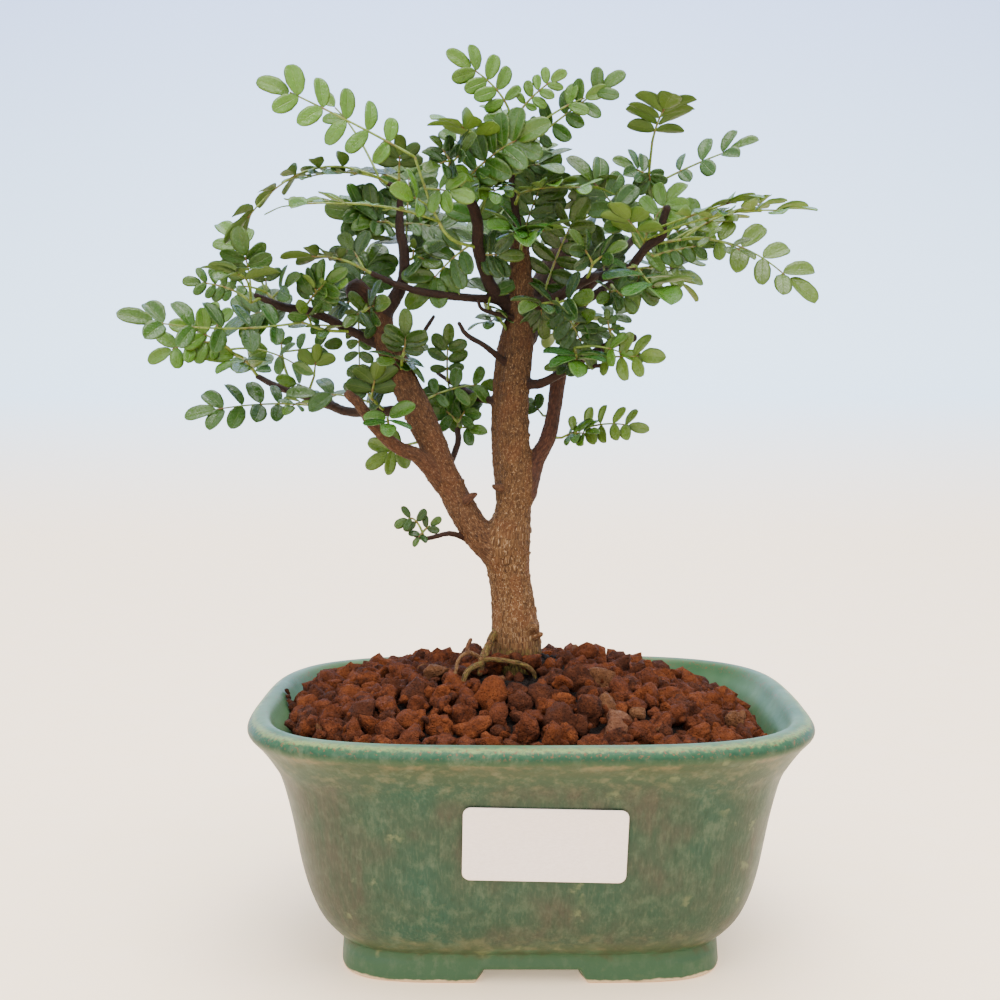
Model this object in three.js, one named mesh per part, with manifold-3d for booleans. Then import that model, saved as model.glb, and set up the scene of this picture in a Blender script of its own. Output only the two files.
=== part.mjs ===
// A small Chinese pepper bonsai: a two-stemmed tree with pinnate leaves, rooted in
// coarse lava granules in a green glazed oblong pot with a blank paper label.
// Millimetres, +Z up. Inside the group the pot's middle is at x = y = 0 and z = 0 is
// the face it stands on; the whole group is then moved so that the origin lies under
// the middle of the tree and pot together.

import * as THREE from "three";
import Module from "manifold-3d";

const wasm = await Module();
wasm.setup();

// Driving dimensions

const GAP = 0.3; // clearance between pieces that touch
const POT_SHIFT = new THREE.Vector3(15, 0, 0); // pot's middle from the origin

const POT_HEIGHT = 66.9;
const POT_NARROWING = 10.8; // half-width less half-depth, at every height
const POT_SEGMENTS = 32;
const FOOT_HEIGHT = 7.3;
const FOOT_SQUARENESS = 5.5; // superellipse exponent of the plan
const WALL_SQUARENESS = 4.6;
const RIM_SQUARENESS = 3.6;

// half-width and height of the pot's outside, from the foot up to the crest
const POT_OUTSIDE = [
  [50.8, 0], [50.8, 6], [50.4, FOOT_HEIGHT], [53.5, 10.3], [56.8, 14.7], [59.5, 20.9],
  [61.6, 28.5], [64.3, 42.1], [66.8, 51.5], [69.2, 56], [72.2, 60.3], [75, 63.6],
  [74.8, 65.6], [73.2, POT_HEIGHT],
];

// half-width and height of its inside, from the floor up
const POT_INSIDE = [
  [46, 9], [52, 14], [57.5, 26], [61.6, 50], [65.6, 60], [68.2, 64], [70.3, POT_HEIGHT + 0.1],
];

const RECESS_HEIGHT = 3.7; // the cut-outs between the feet and the hollow behind them
const RECESS_HALF_WIDTH_BELOW = 14.8;
const RECESS_HALF_WIDTH_ABOVE = 12.4;
const RECESS_HALF_LENGTH = 60; // past the foot's edge
const FOOT_WALL = 6.5;
const DRAIN_RADIUS = 5;
const DRAIN_OFFSET = 22;
const DRAIN_SIDES = 12;

const SCREEN_SIZE = 18;
const SCREEN_THICKNESS = 0.8;
const SCREEN_SLOTS = 3;
const SCREEN_BORDER = 2;

const LABEL_COLUMNS = 6;
const LABEL = { width: 40.7, height: 19.6, thickness: 0.4, x: 3, z: 40.6, turn: -0.023 };

const SOIL_EDGE = 62.5; // height of the granules near the pot's wall, midway along
const SOIL_TILT = 4.5; // how much higher they lie at the left end, and lower at the right
const SOIL_CREST = 79; // their height round the trunk
const SOIL_FALL = 1.8; // exponent of the dome's section
const SOIL_BANK = 0.93; // share of the way to the wall where their bank falls off
const SOIL_BANK_DROP = 5; // how far it falls up to the wall
const GRANULE_PITCH = 10.8;
const GRANULE_ROWS = 7; // on either side of the middle
const GRANULE_COLUMNS = 8;
const GRANULE_SEED = 7;
const VALLEY_DEPTH = 3.4; // between the granules, below their tops
const CORNER_SHAKE = 0.28; // of the pitch
const TOP_SHAKE = 1.8;
const TOP_TILT = 1.6;
const TOP_REACH = 0.5; // least radius of a granule's top over its cell's
const TOP_REACH_SHAKE = 0.2;

// the dark hollow under the arching surface root, and its radii
const ROOT_HOLLOW = [[-10.5, -15, 76.4], [-5.5, -16.5, 75.4], [-0.5, -15.5, 75.2]];
const ROOT_HOLLOW_RADII = [2.2, 3.4, 2.4];
const ROOT_HOLLOW_SIDES = 8;

const BLADE_THICKNESS = 0.7;
const RIB_HALF_WIDTH = 0.45;
const LEAFLET_RATIO = 0.56; // width of a leaflet over its length
const LEAFLET_SHARE = 0.6; // longest leaflet over the length of its leaf
const LEAFLET_LIFT = 0.18; // rise of a leaflet for each millimetre away from the rib
const STEM_RADIUS = 0.65;
const STEM_SIDES = 4;
const LEAFLET_FOOT = 0.5; // half a leaflet's width where it meets the rib
const LEAFLET_WIDEST = 0.58; // of its length, from the rib
const LEAFLET_ROOM = 0.9; // width of a leaflet, at most, over the way to the next one's middle
const LEAST_PITCH = 1.4; // from a pair of leaflets to the next
const SPREAD_FIRST = 78; // degrees between the rib and its first leaflets
const SPREAD_LAST = 54;
const LEAF_ARCH = 0.1; // rise of a leaf with no "via", over its chord
const TOUCH_VOLUME = 1e-6;

// The wood: for each limb the middle of its stations and its radius there. Each limb
// starts inside the one it grows from.
const LIMBS = {
  trunk: {
    sides: 10,
    path: [
      [-3.4, 0, 57], [-3.4, 0, 73], [-3.4, 0, 80], [-3.9, 0, 86], [-4.3, 0, 92.6], [-5.6, 0, 101.3],
      [-6.2, 0, 110], [-4.6, 0, 117], [-4, 0, 126], [-5, 0, 135], [-4.2, 0, 150], [-3, 0, 163],
      [-2.2, 0, 172], [-2.4, 0, 182], [-3, 0, 193],
    ],
    radii: [6.2, 7.2, 7, 6.5, 6.1, 5.9, 6.4, 5.1, 4.9, 4.6, 4.3, 3.9, 3.4, 3.3, 2.4],
  },
  second_stem: {
    sides: 6,
    path: [[-8, 2, 124], [-8.8, 3.5, 134], [-8.2, 4, 149], [-7, 3, 160], [-5, 1, 170]],
    radii: [3, 3.2, 3.1, 3, 2.4],
  },
  left_limb: {
    sides: 8,
    path: [
      [-8, 0, 107], [-14.8, -1, 113], [-23.8, -3, 130], [-26.4, -4, 137.2], [-32.3, -5, 150],
      [-38, -6, 163], [-40.5, -6, 171.5],
    ],
    radii: [5.2, 4.2, 3.9, 3.7, 4, 3.4, 2.7],
  },
  left_stub: {
    sides: 6,
    path: [[-41, -6, 171], [-44, -6, 176], [-47, -7, 179]],
    radii: [2.6, 2.9, 3],
  },
  left_leader: {
    sides: 6,
    path: [
      [-40, -6, 172], [-36, -6, 178], [-34, -7, 183], [-34, -8, 190],
      [-35, -8, 195], [-35, -8, 201], [-35, -9, 206], [-38, -11, 207],
    ],
    radii: [2.2, 1.9, 1.6, 1.4, 1.3, 0.9, 0.7, 0.6],
  },
  stub_branch: {
    sides: 7,
    path: [
      [-24, -3, 127], [-30, -8, 134], [-36, -11, 137],
      [-42, -14, 143], [-45, -17, 148], [-48, -19, 151],
    ],
    radii: [2.8, 2.2, 1.8, 1.6, 1.5, 1.3],
  },
  left_branch: {
    sides: 5,
    path: [[-42, -6, 165], [-48, -9, 168], [-58, -14, 173], [-65, -17, 174], [-72, -20, 177]],
    radii: [1.5, 1.2, 1.2, 1.2, 0.6],
  },
  low_left_branch: {
    sides: 5,
    path: [[-31, -3, 147], [-49, 5, 146], [-56, 8, 148], [-65, 11, 151], [-71, 12, 153], [-77, 13, 156]],
    radii: [1.6, 1.4, 1.3, 1.1, 1, 0.8],
  },
  low_twig: {
    sides: 5,
    path: [[-17, -1, 111], [-22, -6, 113], [-28, -10, 112], [-31, -12, 113]],
    radii: [0.9, 0.7, 0.6, 0.5],
  },
  cross_branch: {
    sides: 5,
    path: [[-7, -1, 177], [-16, -8, 177], [-27, -12, 178], [-35, -14, 180], [-42, -15, 183]],
    radii: [1.3, 1.1, 1, 0.9, 0.7],
  },
  dark_leader: {
    sides: 6,
    path: [
      [-6, 0, 175], [-11, -5, 181], [-14, -9, 190], [-14, -12, 196],
      [-16, -15, 202], [-21, -18, 206], [-22, -19, 207],
    ],
    radii: [1.9, 1.7, 1.5, 1.5, 1.3, 1, 0.9],
  },
  dead_twig_a: {
    sides: 5,
    path: [[-7, -2, 160], [-12, -8, 164], [-17, -11, 167], [-19, -12, 170]],
    radii: [1, 0.8, 0.7, 0.5],
  },
  dead_twig_b: {
    sides: 5,
    path: [[-2.6, -0.5, 171.6], [-10, -7, 173], [-13, -9, 174], [-14, -10, 176]],
    radii: [0.8, 0.6, 0.5, 0.45],
  },
  back_twig: {
    sides: 5,
    path: [[-9, 3, 149], [-14, 9, 150], [-18, 12, 152], [-23, 15, 155], [-26, 17, 157]],
    radii: [1.2, 1.1, 0.9, 0.7, 0.5],
  },
  fork_twig: {
    sides: 5,
    path: [[-23, -1, 129], [-20, 5, 137], [-20, 8, 141]],
    radii: [1, 0.9, 0.8],
  },
  limb_spur: {
    sides: 5,
    path: [[-37, -6, 162], [-31, -7, 165], [-26, -8, 172]],
    radii: [0.8, 0.6, 0.5],
  },
  right_branch: {
    sides: 7,
    path: [
      [1, 0, 124], [3, 1, 132], [6, 2, 139], [7, 3, 147], [8, 4, 154],
      [10, 5, 163], [12, 6, 169], [15, 7, 178], [17, 7, 183],
    ],
    radii: [3, 2.6, 2.3, 2, 2.1, 1.9, 1.9, 1.8, 1.7],
  },
  right_twig: {
    sides: 5,
    path: [[-1, -1, 154], [3, -4, 154], [9, -8, 157], [13, -11, 158], [20, -14, 159]],
    radii: [1.5, 1.3, 1.1, 0.8, 0.5],
  },
  right_stub: {
    sides: 5,
    path: [[9, 4, 159], [13, -2, 160], [19, -10, 163], [23, -14, 165], [27, -17, 166]],
    radii: [1.2, 1.2, 1.25, 1.25, 1.2],
  },
  upper_limb: {
    sides: 7,
    path: [[-1, 4, 167], [2, 10, 177], [6, 14, 186], [10, 17, 192], [14, 19, 196]],
    radii: [3.4, 3.6, 3.4, 3, 2.4],
  },
  side_twig: {
    sides: 5,
    path: [[-1, 3, 171], [5, 8, 173], [9, 12, 174]],
    radii: [1.3, 1, 0.8],
  },
  right_leader: {
    sides: 5,
    path: [
      [17, 7, 183], [23, 2, 184], [27, -4, 185], [30, -8, 189],
      [32, -11, 191], [35, -13, 193], [35, -14, 197], [36, -15, 200],
    ],
    radii: [1.6, 1.5, 1.3, 1.2, 1.2, 1.1, 1, 1],
  },
  right_inner: {
    sides: 5,
    path: [[14, 7, 176], [19, 2, 179], [22, -4, 181]],
    radii: [1.4, 1.2, 0.9],
  },
  right_back: {
    sides: 5,
    path: [[17, 7, 182], [24, 12, 189], [28, 16, 193], [32, 18, 198], [33, 14, 204]],
    radii: [1.5, 1.3, 1.1, 0.9, 0.7],
  },
  front_fork: {
    sides: 6,
    path: [[0, -1, 175], [7, -8, 177], [12, -13, 180], [17, -17, 182]],
    radii: [1.8, 1.5, 1.3, 1],
  },
  top_twig: {
    sides: 5,
    path: [[-3, 0, 193], [-4, -1, 202], [-5, -2, 209], [-3, -4, 214]],
    radii: [1.3, 1, 0.8, 0.6],
  },
  back_limb: {
    sides: 5,
    path: [[-2, 2, 169], [-5, 14, 178], [-9, 24, 184], [-11, 30, 190]],
    radii: [1.7, 1.4, 1.1, 0.8],
  },
  trunk_knob: { sides: 6, path: [[0, -2, 86], [1.3, -5.5, 87]], radii: [2.6, 1.4] },
  root_flank: {
    sides: 6,
    path: [[-7.5, -1, 86.5], [-10, -4, 84.3], [-11.6, -8, 81.6], [-12.8, -11, 79], [-13.6, -12.6, 75.5]],
    radii: [1.3, 1.2, 1.1, 1, 0.9],
  },
  root_arch: {
    sides: 5,
    path: [[-12.8, -11, 79], [-9.2, -13, 79.4], [-4, -14, 78.8], [-1, -14, 77.8], [1, -13, 75.8], [1.8, -12.4, 72.8]],
    radii: [0.9, 0.8, 0.75, 0.75, 0.7, 0.7],
  },
  root_loop: {
    sides: 5,
    path: [[-12.9, -11.4, 79.2], [-14.4, -12.2, 80.2], [-16.2, -13.6, 81.3], [-18, -14.6, 81], [-19.4, -15.5, 79.4],
      [-20, -16.4, 76.6], [-20.4, -17, 72.5]],
    radii: [0.7, 0.65, 0.65, 0.6, 0.6, 0.6, 0.6],
  },
  root_low: {
    sides: 5,
    path: [[-13.5, -12.3, 78], [-15.3, -14.2, 77.5], [-17.1, -16, 76.3], [-18.6, -18, 72.5]],
    radii: [0.9, 0.85, 0.8, 0.7],
  },
  root_twig: {
    sides: 5,
    path: [[-17, -14, 81.2], [-16.8, -13.5, 83.2], [-16, -13, 84.8]],
    radii: [0.7, 0.6, 0.6],
  },
};

// Leaf sprays: the limb each grows on and how far along, its green stem from there on,
// and its pinnate leaves. A leaf has its base at a fraction of the stem, arches through
// "via" and ends at "tip"; "bare" is the share of its rib without leaflets, and "face"
// the way its upper side looks.
const FACES = {
  front: new THREE.Vector3(0, -1, 0.25),
  tilted: new THREE.Vector3(0, -0.75, 0.65),
  up: new THREE.Vector3(0, -0.2, 1),
  edge: new THREE.Vector3(0, 0.25, 1),
};

const GREENS = {
  lime: 0x9db64a,
  light: 0x86ad4e,
  pale: 0x8fa565,
  bright: 0x4f8a2c,
  mid: 0x567f3c,
  silver: 0x7d9a78,
  dark: 0x35651f,
};

const SPRAYS = [
  {
    name: "shoot_top_left", tone: "lime", limb: "dark_leader", at: 0.34,
    stem: [[-21, -16, 192], [-25, -19, 198], [-28, -22, 206], [-30, -24, 212]],
    leaves: [
      { at: 1, tip: [-70, -32, 231], via: [-48, -29, 221], pairs: 4, size: 8, face: "front", bare: 0.28 },
      { at: 0.42, tip: [-67, -40, 197], via: [-43, -33, 199], pairs: 3, size: 7.5, face: "up", bare: 0.28 },
      { at: 0.7, tip: [-16, -26, 201], via: [-21, -26, 203], pairs: 1, size: 6.5, face: "front", bare: 0.28 },
    ],
  },
  {
    name: "leaf_arch_left", tone: "mid", limb: "left_leader", at: 1,
    stem: [[-40, -14, 208]],
    leaves: [
      { at: 0, tip: [-79, -26, 187], via: [-61, -20, 208], pairs: 4, size: 8, face: "edge", bare: 0.12 },
    ],
  },
  {
    name: "tuft_leader_top", tone: "dark", limb: "left_leader", at: 0.86,
    stem: [[-35, -10, 210]],
    leaves: [
      { at: 0, tip: [-34, -18, 217], pairs: 1, size: 9, face: "edge", bare: 0.3 },
    ],
  },
  {
    name: "shoot_top", tone: "lime", limb: "dark_leader", at: 0.52,
    stem: [[-11, -9, 206], [-8, -9, 211], [-5, -10, 216], [-4, -10, 221], [-5, -11, 224]],
    leaves: [
      { at: 1, tip: [-24, -18, 240], via: [-11, -14, 233], pairs: 4, size: 7, face: "front", bare: 0.28 },
      { at: 0.93, tip: [10, -14, 236], via: [1, -12, 230], pairs: 3, size: 4.5, face: "front", bare: 0.28 },
      { at: 0.45, tip: [-24, -30, 221], via: [-16, -20, 219], pairs: 1, size: 9.5, face: "up", bare: 0.28 },
      { at: 0.8, tip: [-12, 0, 228], pairs: 1, size: 7, face: "up", bare: 0.28 },
    ],
  },
  {
    name: "leaf_top_right", tone: "mid", limb: "top_twig", at: 1,
    stem: [[-2, -4, 217]],
    leaves: [
      { at: 0, tip: [26, -10, 237], via: [10, -8, 226], pairs: 4, size: 6.5, face: "front", bare: 0.12 },
    ],
  },
  {
    name: "shoot_right_top", tone: "mid", limb: "right_back", at: 1,
    stem: [[33, 8, 208], [33, 2, 214], [33, -4, 219]],
    leaves: [
      { at: 1, tip: [36, -30, 226], via: [34, -17, 224], pairs: 3, size: 9.5, face: "edge", bare: 0.28 },
      { at: 0.35, tip: [61, -2, 219], via: [48, 2, 215], pairs: 2, size: 7.5, face: "tilted", bare: 0.28 },
      { at: 0.5, tip: [23, 4, 214], pairs: 1, size: 9, face: "tilted", bare: 0.28 },
    ],
  },
  {
    name: "shoot_right", tone: "lime", limb: "right_leader", at: 0.43,
    stem: [[31, -12, 194]],
    leaves: [
      { at: 1, tip: [59, -36, 202], via: [45, -25, 199], pairs: 2, size: 8.5, face: "up", bare: 0.3 },
      { at: 0.6, tip: [68, -45, 197], via: [50, -30, 198], pairs: 3, size: 8.5, face: "up", bare: 0.3 },
      { at: 1, tip: [40, -10, 205], pairs: 1, size: 7, face: "tilted", bare: 0.28 },
      { at: 0.5, tip: [21, -24, 198], pairs: 1, size: 8, face: "up", bare: 0.28 },
    ],
  },
  {
    name: "leaf_far_right", tone: "pale", limb: "right_leader", at: 0.57,
    stem: [[40, -14, 192]],
    leaves: [
      { at: 1, tip: [73, -26, 173], via: [58, -20, 188], pairs: 4, size: 8.5, face: "tilted", bare: 0.28 },
      { at: 0.7, tip: [58, -8, 197], pairs: 1, size: 8, face: "up", bare: 0.28 },
    ],
  },
  {
    name: "leaf_right_small", tone: "mid", limb: "right_leader", at: 0.48,
    stem: [[33, -10, 188]],
    leaves: [
      { at: 0, tip: [51, -12, 187], via: [41, -11, 188], pairs: 3, size: 5, face: "front", bare: 0.05 },
    ],
  },
  {
    name: "leaf_right_pale", tone: "pale", limb: "right_leader", at: 0.25,
    stem: [[33, 2, 186]],
    leaves: [
      { at: 1, tip: [48, 15, 187], pairs: 1, size: 8, face: "tilted", bare: 0.28 },
      { at: 1, tip: [47, -2, 179], via: [40, 0, 185], pairs: 2, size: 8, face: "tilted", bare: 0.28 },
    ],
  },
  {
    name: "tuft_right_big", tone: "bright", limb: "right_leader", at: 0.32,
    stem: [[28, -14, 185]],
    leaves: [
      { at: 1, tip: [35, -40, 174], via: [31, -27, 179], pairs: 2, size: 12, face: "tilted", bare: 0.28 },
      { at: 1, tip: [19, -19, 179], pairs: 0, size: 11, face: "tilted", bare: 0.28 },
    ],
  },
  {
    name: "tuft_right_fan", tone: "bright", limb: "right_branch", at: 0.8,
    stem: [[11, -8, 168], [12, -16, 162]],
    leaves: [
      { at: 1, tip: [12, -28, 154], pairs: 2, size: 9, face: "tilted", bare: 0.28 },
      { at: 0.4, tip: [4, -12, 168], pairs: 1, size: 8, face: "front", bare: 0.28 },
    ],
  },
  {
    name: "leaf_right_mid", tone: "pale", limb: "right_stub", at: 0.3,
    stem: [[16, -14, 161]],
    leaves: [
      { at: 0, tip: [35, -28, 161], via: [26, -21, 161], pairs: 2, size: 7, face: "front", bare: 0.1 },
    ],
  },
  {
    name: "leaf_right_low", tone: "pale", limb: "right_branch", at: 0.25,
    stem: [[9, 1, 139]],
    leaves: [
      { at: 0, tip: [32, -12, 139], via: [21, -5, 142], pairs: 4, size: 5.5, face: "front", bare: 0.05 },
    ],
  },
  {
    name: "leaf_mid_right", tone: "mid", limb: "right_branch", at: 0.34,
    stem: [[4, 8, 145]],
    leaves: [
      { at: 1, tip: [-1, 12, 149], pairs: 1, size: 6, face: "front", bare: 0.1 },
    ],
  },
  {
    name: "leaf_upright", tone: "mid", limb: "back_twig", at: 0.75,
    stem: [[-23, 13, 155]],
    leaves: [
      { at: 1, tip: [-22, 10, 171], via: [-23, 12, 163], pairs: 3, size: 6, face: "front", bare: 0.1 },
    ],
  },
  {
    name: "tuft_fork", tone: "mid", limb: "fork_twig", at: 1,
    stem: [[-20, 9, 143]],
    leaves: [
      { at: 1, tip: [-29, 6, 149], pairs: 1, size: 8, face: "tilted", bare: 0.28 },
      { at: 1, tip: [-14, 6, 150], pairs: 1, size: 8, face: "tilted", bare: 0.28 },
      { at: 1, tip: [-22, 18, 152], pairs: 1, size: 8, face: "front", bare: 0.28 },
    ],
  },
  {
    name: "leaf_limb_front", tone: "dark", limb: "left_limb", at: 0.75,
    stem: [[-34, -16, 161]],
    leaves: [
      { at: 1, tip: [-34, -20, 173], via: [-33, -18, 167], pairs: 2, size: 6.5, face: "front", bare: 0.28 },
      { at: 1, tip: [-39, -26, 157], pairs: 0, size: 9, face: "tilted", bare: 0.28 },
      { at: 1, tip: [-28, -12, 165], pairs: 0, size: 9, face: "tilted", bare: 0.28 },
    ],
  },
  {
    name: "tuft_limb_left", tone: "dark", limb: "low_left_branch", at: 0.1,
    stem: [[-43, -8, 150]],
    leaves: [
      { at: 1, tip: [-40, -16, 159], pairs: 1, size: 8.5, face: "edge", bare: 0.28 },
      { at: 1, tip: [-49, -8, 157], pairs: 1, size: 7, face: "front", bare: 0.28 },
    ],
  },
  {
    name: "tuft_stub", tone: "bright", limb: "stub_branch", at: 0.45,
    stem: [[-38, -16, 145]],
    leaves: [
      { at: 1, tip: [-37, -26, 139], pairs: 1, size: 8, face: "tilted", bare: 0.28 },
      { at: 1, tip: [-31, -20, 147], pairs: 0, size: 9, face: "front", bare: 0.28 },
      { at: 1, tip: [-43, -20, 143], pairs: 0, size: 9, face: "front", bare: 0.28 },
    ],
  },
  {
    name: "leaf_hanging", tone: "pale", limb: "left_limb", at: 0.52,
    stem: [[-34, 4, 137]],
    leaves: [
      { at: 0, tip: [-46, 0, 129], via: [-39, 3, 135], pairs: 2, size: 7, face: "front", bare: 0.1 },
    ],
  },
  {
    name: "tuft_low", tone: "dark", limb: "low_twig", at: 0.75,
    stem: [[-29, -13, 114]],
    leaves: [
      { at: 1, tip: [-35, -16, 114], via: [-32, -15, 118], pairs: 1, size: 4, face: "front", bare: 0.28 },
      { at: 1, tip: [-24, -12, 117], pairs: 0, size: 5, face: "front", bare: 0.28 },
    ],
  },
  {
    name: "shoot_far_left", tone: "mid", limb: "left_branch", at: 0.25,
    stem: [[-54, -16, 168], [-60, -20, 170]],
    leaves: [
      { at: 1, tip: [-104, -40, 171], via: [-81, -31, 168], pairs: 4, size: 8.5, face: "tilted", bare: 0.28 },
      { at: 0.5, tip: [-54, -26, 165], pairs: 0, size: 6, face: "up", bare: 0.28 },
    ],
  },
  {
    name: "shoot_left_tip", tone: "mid", limb: "left_branch", at: 0.95,
    stem: [[-73, -22, 175]],
    leaves: [
      { at: 1, tip: [-76, -28, 194], via: [-73, -26, 184], pairs: 3, size: 7, face: "front", bare: 0.35 },
      { at: 1, tip: [-80, -48, 175], via: [-74, -35, 179], pairs: 1, size: 9.5, face: "up", bare: 0.3 },
      { at: 1, tip: [-91, -26, 180], via: [-80, -24, 179], pairs: 2, size: 4.5, face: "front", bare: 0.3 },
    ],
  },
  {
    name: "leaf_left_rise", tone: "mid", limb: "left_branch", at: 0.78,
    stem: [[-70, -14, 178]],
    leaves: [
      { at: 1, tip: [-71, -12, 186], pairs: 0, size: 8, face: "front", bare: 0.3 },
      { at: 0.6, tip: [-60, -22, 180], pairs: 1, size: 8, face: "tilted", bare: 0.28 },
    ],
  },
  {
    name: "shoot_left_low", tone: "light", limb: "low_left_branch", at: 1,
    stem: [[-80, 8, 161], [-83, 4, 163], [-86, 2, 167]],
    leaves: [
      { at: 0.75, tip: [-105, -6, 159], via: [-93, -1, 165], pairs: 3, size: 6.5, face: "front", bare: 0.28 },
      { at: 1, tip: [-88, 6, 176], pairs: 0, size: 8.5, face: "front", bare: 0.28 },
      { at: 0.35, tip: [-82, -6, 153], via: [-79, 0, 159], pairs: 1, size: 9.5, face: "tilted", bare: 0.28 },
      { at: 0.35, tip: [-89, -2, 160], pairs: 0, size: 10, face: "front", bare: 0.28 },
      { at: 0.3, tip: [-71, 0, 159], pairs: 0, size: 10, face: "front", bare: 0.28 },
    ],
  },
  {
    name: "leaf_low_left", tone: "mid", limb: "low_left_branch", at: 0.5,
    stem: [[-62, 6, 148]],
    leaves: [
      { at: 1, tip: [-95, -4, 145], via: [-78, 2, 148], pairs: 3, size: 8, face: "tilted", bare: 0.15 },
    ],
  },
  {
    name: "leaf_left_inner", tone: "light", limb: "low_left_branch", at: 0.55,
    stem: [[-60, 5, 156]],
    leaves: [
      { at: 0, tip: [-58, -2, 163], pairs: 1, size: 7.5, face: "edge", bare: 0.3 },
    ],
  },
  {
    name: "leaf_left_round", tone: "mid", limb: "low_left_branch", at: 0.64,
    stem: [[-69, 12, 158], [-70, 12, 163]],
    leaves: [
      { at: 1, tip: [-70, 12, 169], pairs: 0, size: 5.5, face: "front", bare: 0.28 },
      { at: 1, tip: [-52, 12, 166], via: [-62, 12, 164], pairs: 1, size: 5, face: "front", bare: 0.28 },
    ],
  },
  {
    name: "leaf_cross_tip", tone: "dark", limb: "cross_branch", at: 1,
    stem: [[-46, -17, 185]],
    leaves: [
      { at: 1, tip: [-65, -24, 185], via: [-55, -21, 187], pairs: 2, size: 7.5, face: "edge", bare: 0.28 },
      { at: 0.5, tip: [-51, -12, 193], pairs: 0, size: 8, face: "front", bare: 0.28 },
    ],
  },
  {
    name: "leaf_left_lime", tone: "lime", limb: "left_branch", at: 0.47,
    stem: [[-55, -17, 176]],
    leaves: [
      { at: 0, tip: [-56, -22, 181], pairs: 1, size: 10, face: "edge", bare: 0.28 },
    ],
  },
  {
    name: "tuft_stub_left", tone: "dark", limb: "left_stub", at: 0.5,
    stem: [[-44, -16, 173]],
    leaves: [
      { at: 1, tip: [-48, -24, 168], pairs: 1, size: 9, face: "front", bare: 0.28 },
      { at: 1, tip: [-37, -26, 173], pairs: 0, size: 10, face: "front", bare: 0.28 },
    ],
  },
  {
    name: "tuft_left_back", tone: "dark", limb: "left_stub", at: 0.8,
    stem: [[-49, 4, 177]],
    leaves: [
      { at: 1, tip: [-56, 8, 171], pairs: 1, size: 8, face: "tilted", bare: 0.28 },
      { at: 1, tip: [-56, 14, 181], pairs: 1, size: 8, face: "tilted", bare: 0.28 },
    ],
  },
  {
    name: "tuft_leader_mid", tone: "mid", limb: "left_leader", at: 0.57,
    stem: [[-39, -4, 198]],
    leaves: [
      { at: 1, tip: [-53, -4, 200], pairs: 1, size: 9, face: "tilted", bare: 0.28 },
      { at: 0.8, tip: [-48, -12, 194], pairs: 1, size: 8, face: "tilted", bare: 0.28 },
    ],
  },
  {
    name: "tuft_leader_right", tone: "dark", limb: "left_leader", at: 0.36,
    stem: [[-31, -6, 188]],
    leaves: [
      { at: 1, tip: [-25, -16, 183], pairs: 1, size: 10, face: "front", bare: 0.28 },
      { at: 1, tip: [-20, -2, 191], pairs: 1, size: 9, face: "tilted", bare: 0.28 },
    ],
  },
  {
    name: "tuft_dark_leader", tone: "dark", limb: "dark_leader", at: 1,
    stem: [[-21, -24, 211]],
    leaves: [
      { at: 1, tip: [-26, -22, 217], pairs: 1, size: 8, face: "tilted", bare: 0.28 },
      { at: 0.7, tip: [-13, -30, 214], pairs: 1, size: 8, face: "tilted", bare: 0.28 },
    ],
  },
  {
    name: "tuft_centre", tone: "bright", limb: "trunk", at: 0.97,
    stem: [[-2, -12, 194]],
    leaves: [
      { at: 1, tip: [9, -26, 194], via: [4, -18, 194], pairs: 2, size: 9, face: "up", bare: 0.28 },
      { at: 1, tip: [-10, -24, 193], pairs: 1, size: 9, face: "tilted", bare: 0.28 },
    ],
  },
  {
    name: "leaf_centre_lime", tone: "lime", limb: "top_twig", at: 0.35,
    stem: [[-3, -6, 205]],
    leaves: [
      { at: 0, tip: [23, -18, 203], via: [9, -12, 206], pairs: 4, size: 8, face: "up", bare: 0.28 },
    ],
  },
  {
    name: "tuft_silver", tone: "silver", limb: "top_twig", at: 0.75,
    stem: [[-1, 0, 213]],
    leaves: [
      { at: 1, tip: [8, -14, 208], pairs: 1, size: 11, face: "tilted", bare: 0.28 },
      { at: 1, tip: [7, 0, 219], pairs: 1, size: 8, face: "tilted", bare: 0.28 },
    ],
  },
  {
    name: "leaf_right_silver", tone: "silver", limb: "upper_limb", at: 1,
    stem: [[13, 10, 201]],
    leaves: [
      { at: 1, tip: [22, -6, 212], via: [17, 2, 206], pairs: 2, size: 9, face: "up", bare: 0.28 },
      { at: 0.6, tip: [30, 0, 201], pairs: 0, size: 8, face: "tilted", bare: 0.28 },
    ],
  },
  {
    name: "tuft_front_fork", tone: "dark", limb: "front_fork", at: 0.35,
    stem: [[7, -16, 175]],
    leaves: [
      { at: 0, tip: [-3, -30, 170], pairs: 2, size: 8, face: "tilted", bare: 0.28 },
    ],
  },
  {
    name: "tuft_front_inner", tone: "dark", limb: "front_fork", at: 0.85,
    stem: [[16, -22, 185]],
    leaves: [
      { at: 1, tip: [10, -26, 192], pairs: 1, size: 8, face: "tilted", bare: 0.28 },
      { at: 1, tip: [24, -28, 188], pairs: 0, size: 9, face: "tilted", bare: 0.28 },
    ],
  },
  {
    name: "tuft_right_inner", tone: "mid", limb: "right_inner", at: 1,
    stem: [[23, -8, 179]],
    leaves: [
      { at: 1, tip: [28, -12, 172], pairs: 1, size: 7, face: "front", bare: 0.28 },
      { at: 1, tip: [18, -16, 174], pairs: 0, size: 7, face: "front", bare: 0.28 },
    ],
  },
  {
    name: "tuft_right_stub", tone: "mid", limb: "right_stub", at: 0.75,
    stem: [[21, -14, 168]],
    leaves: [
      { at: 0, tip: [20, -14, 173], pairs: 1, size: 5.5, face: "front", bare: 0.28 },
    ],
  },
  {
    name: "tuft_back_crown", tone: "dark", limb: "upper_limb", at: 0.5,
    stem: [[6, 22, 189]],
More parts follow.
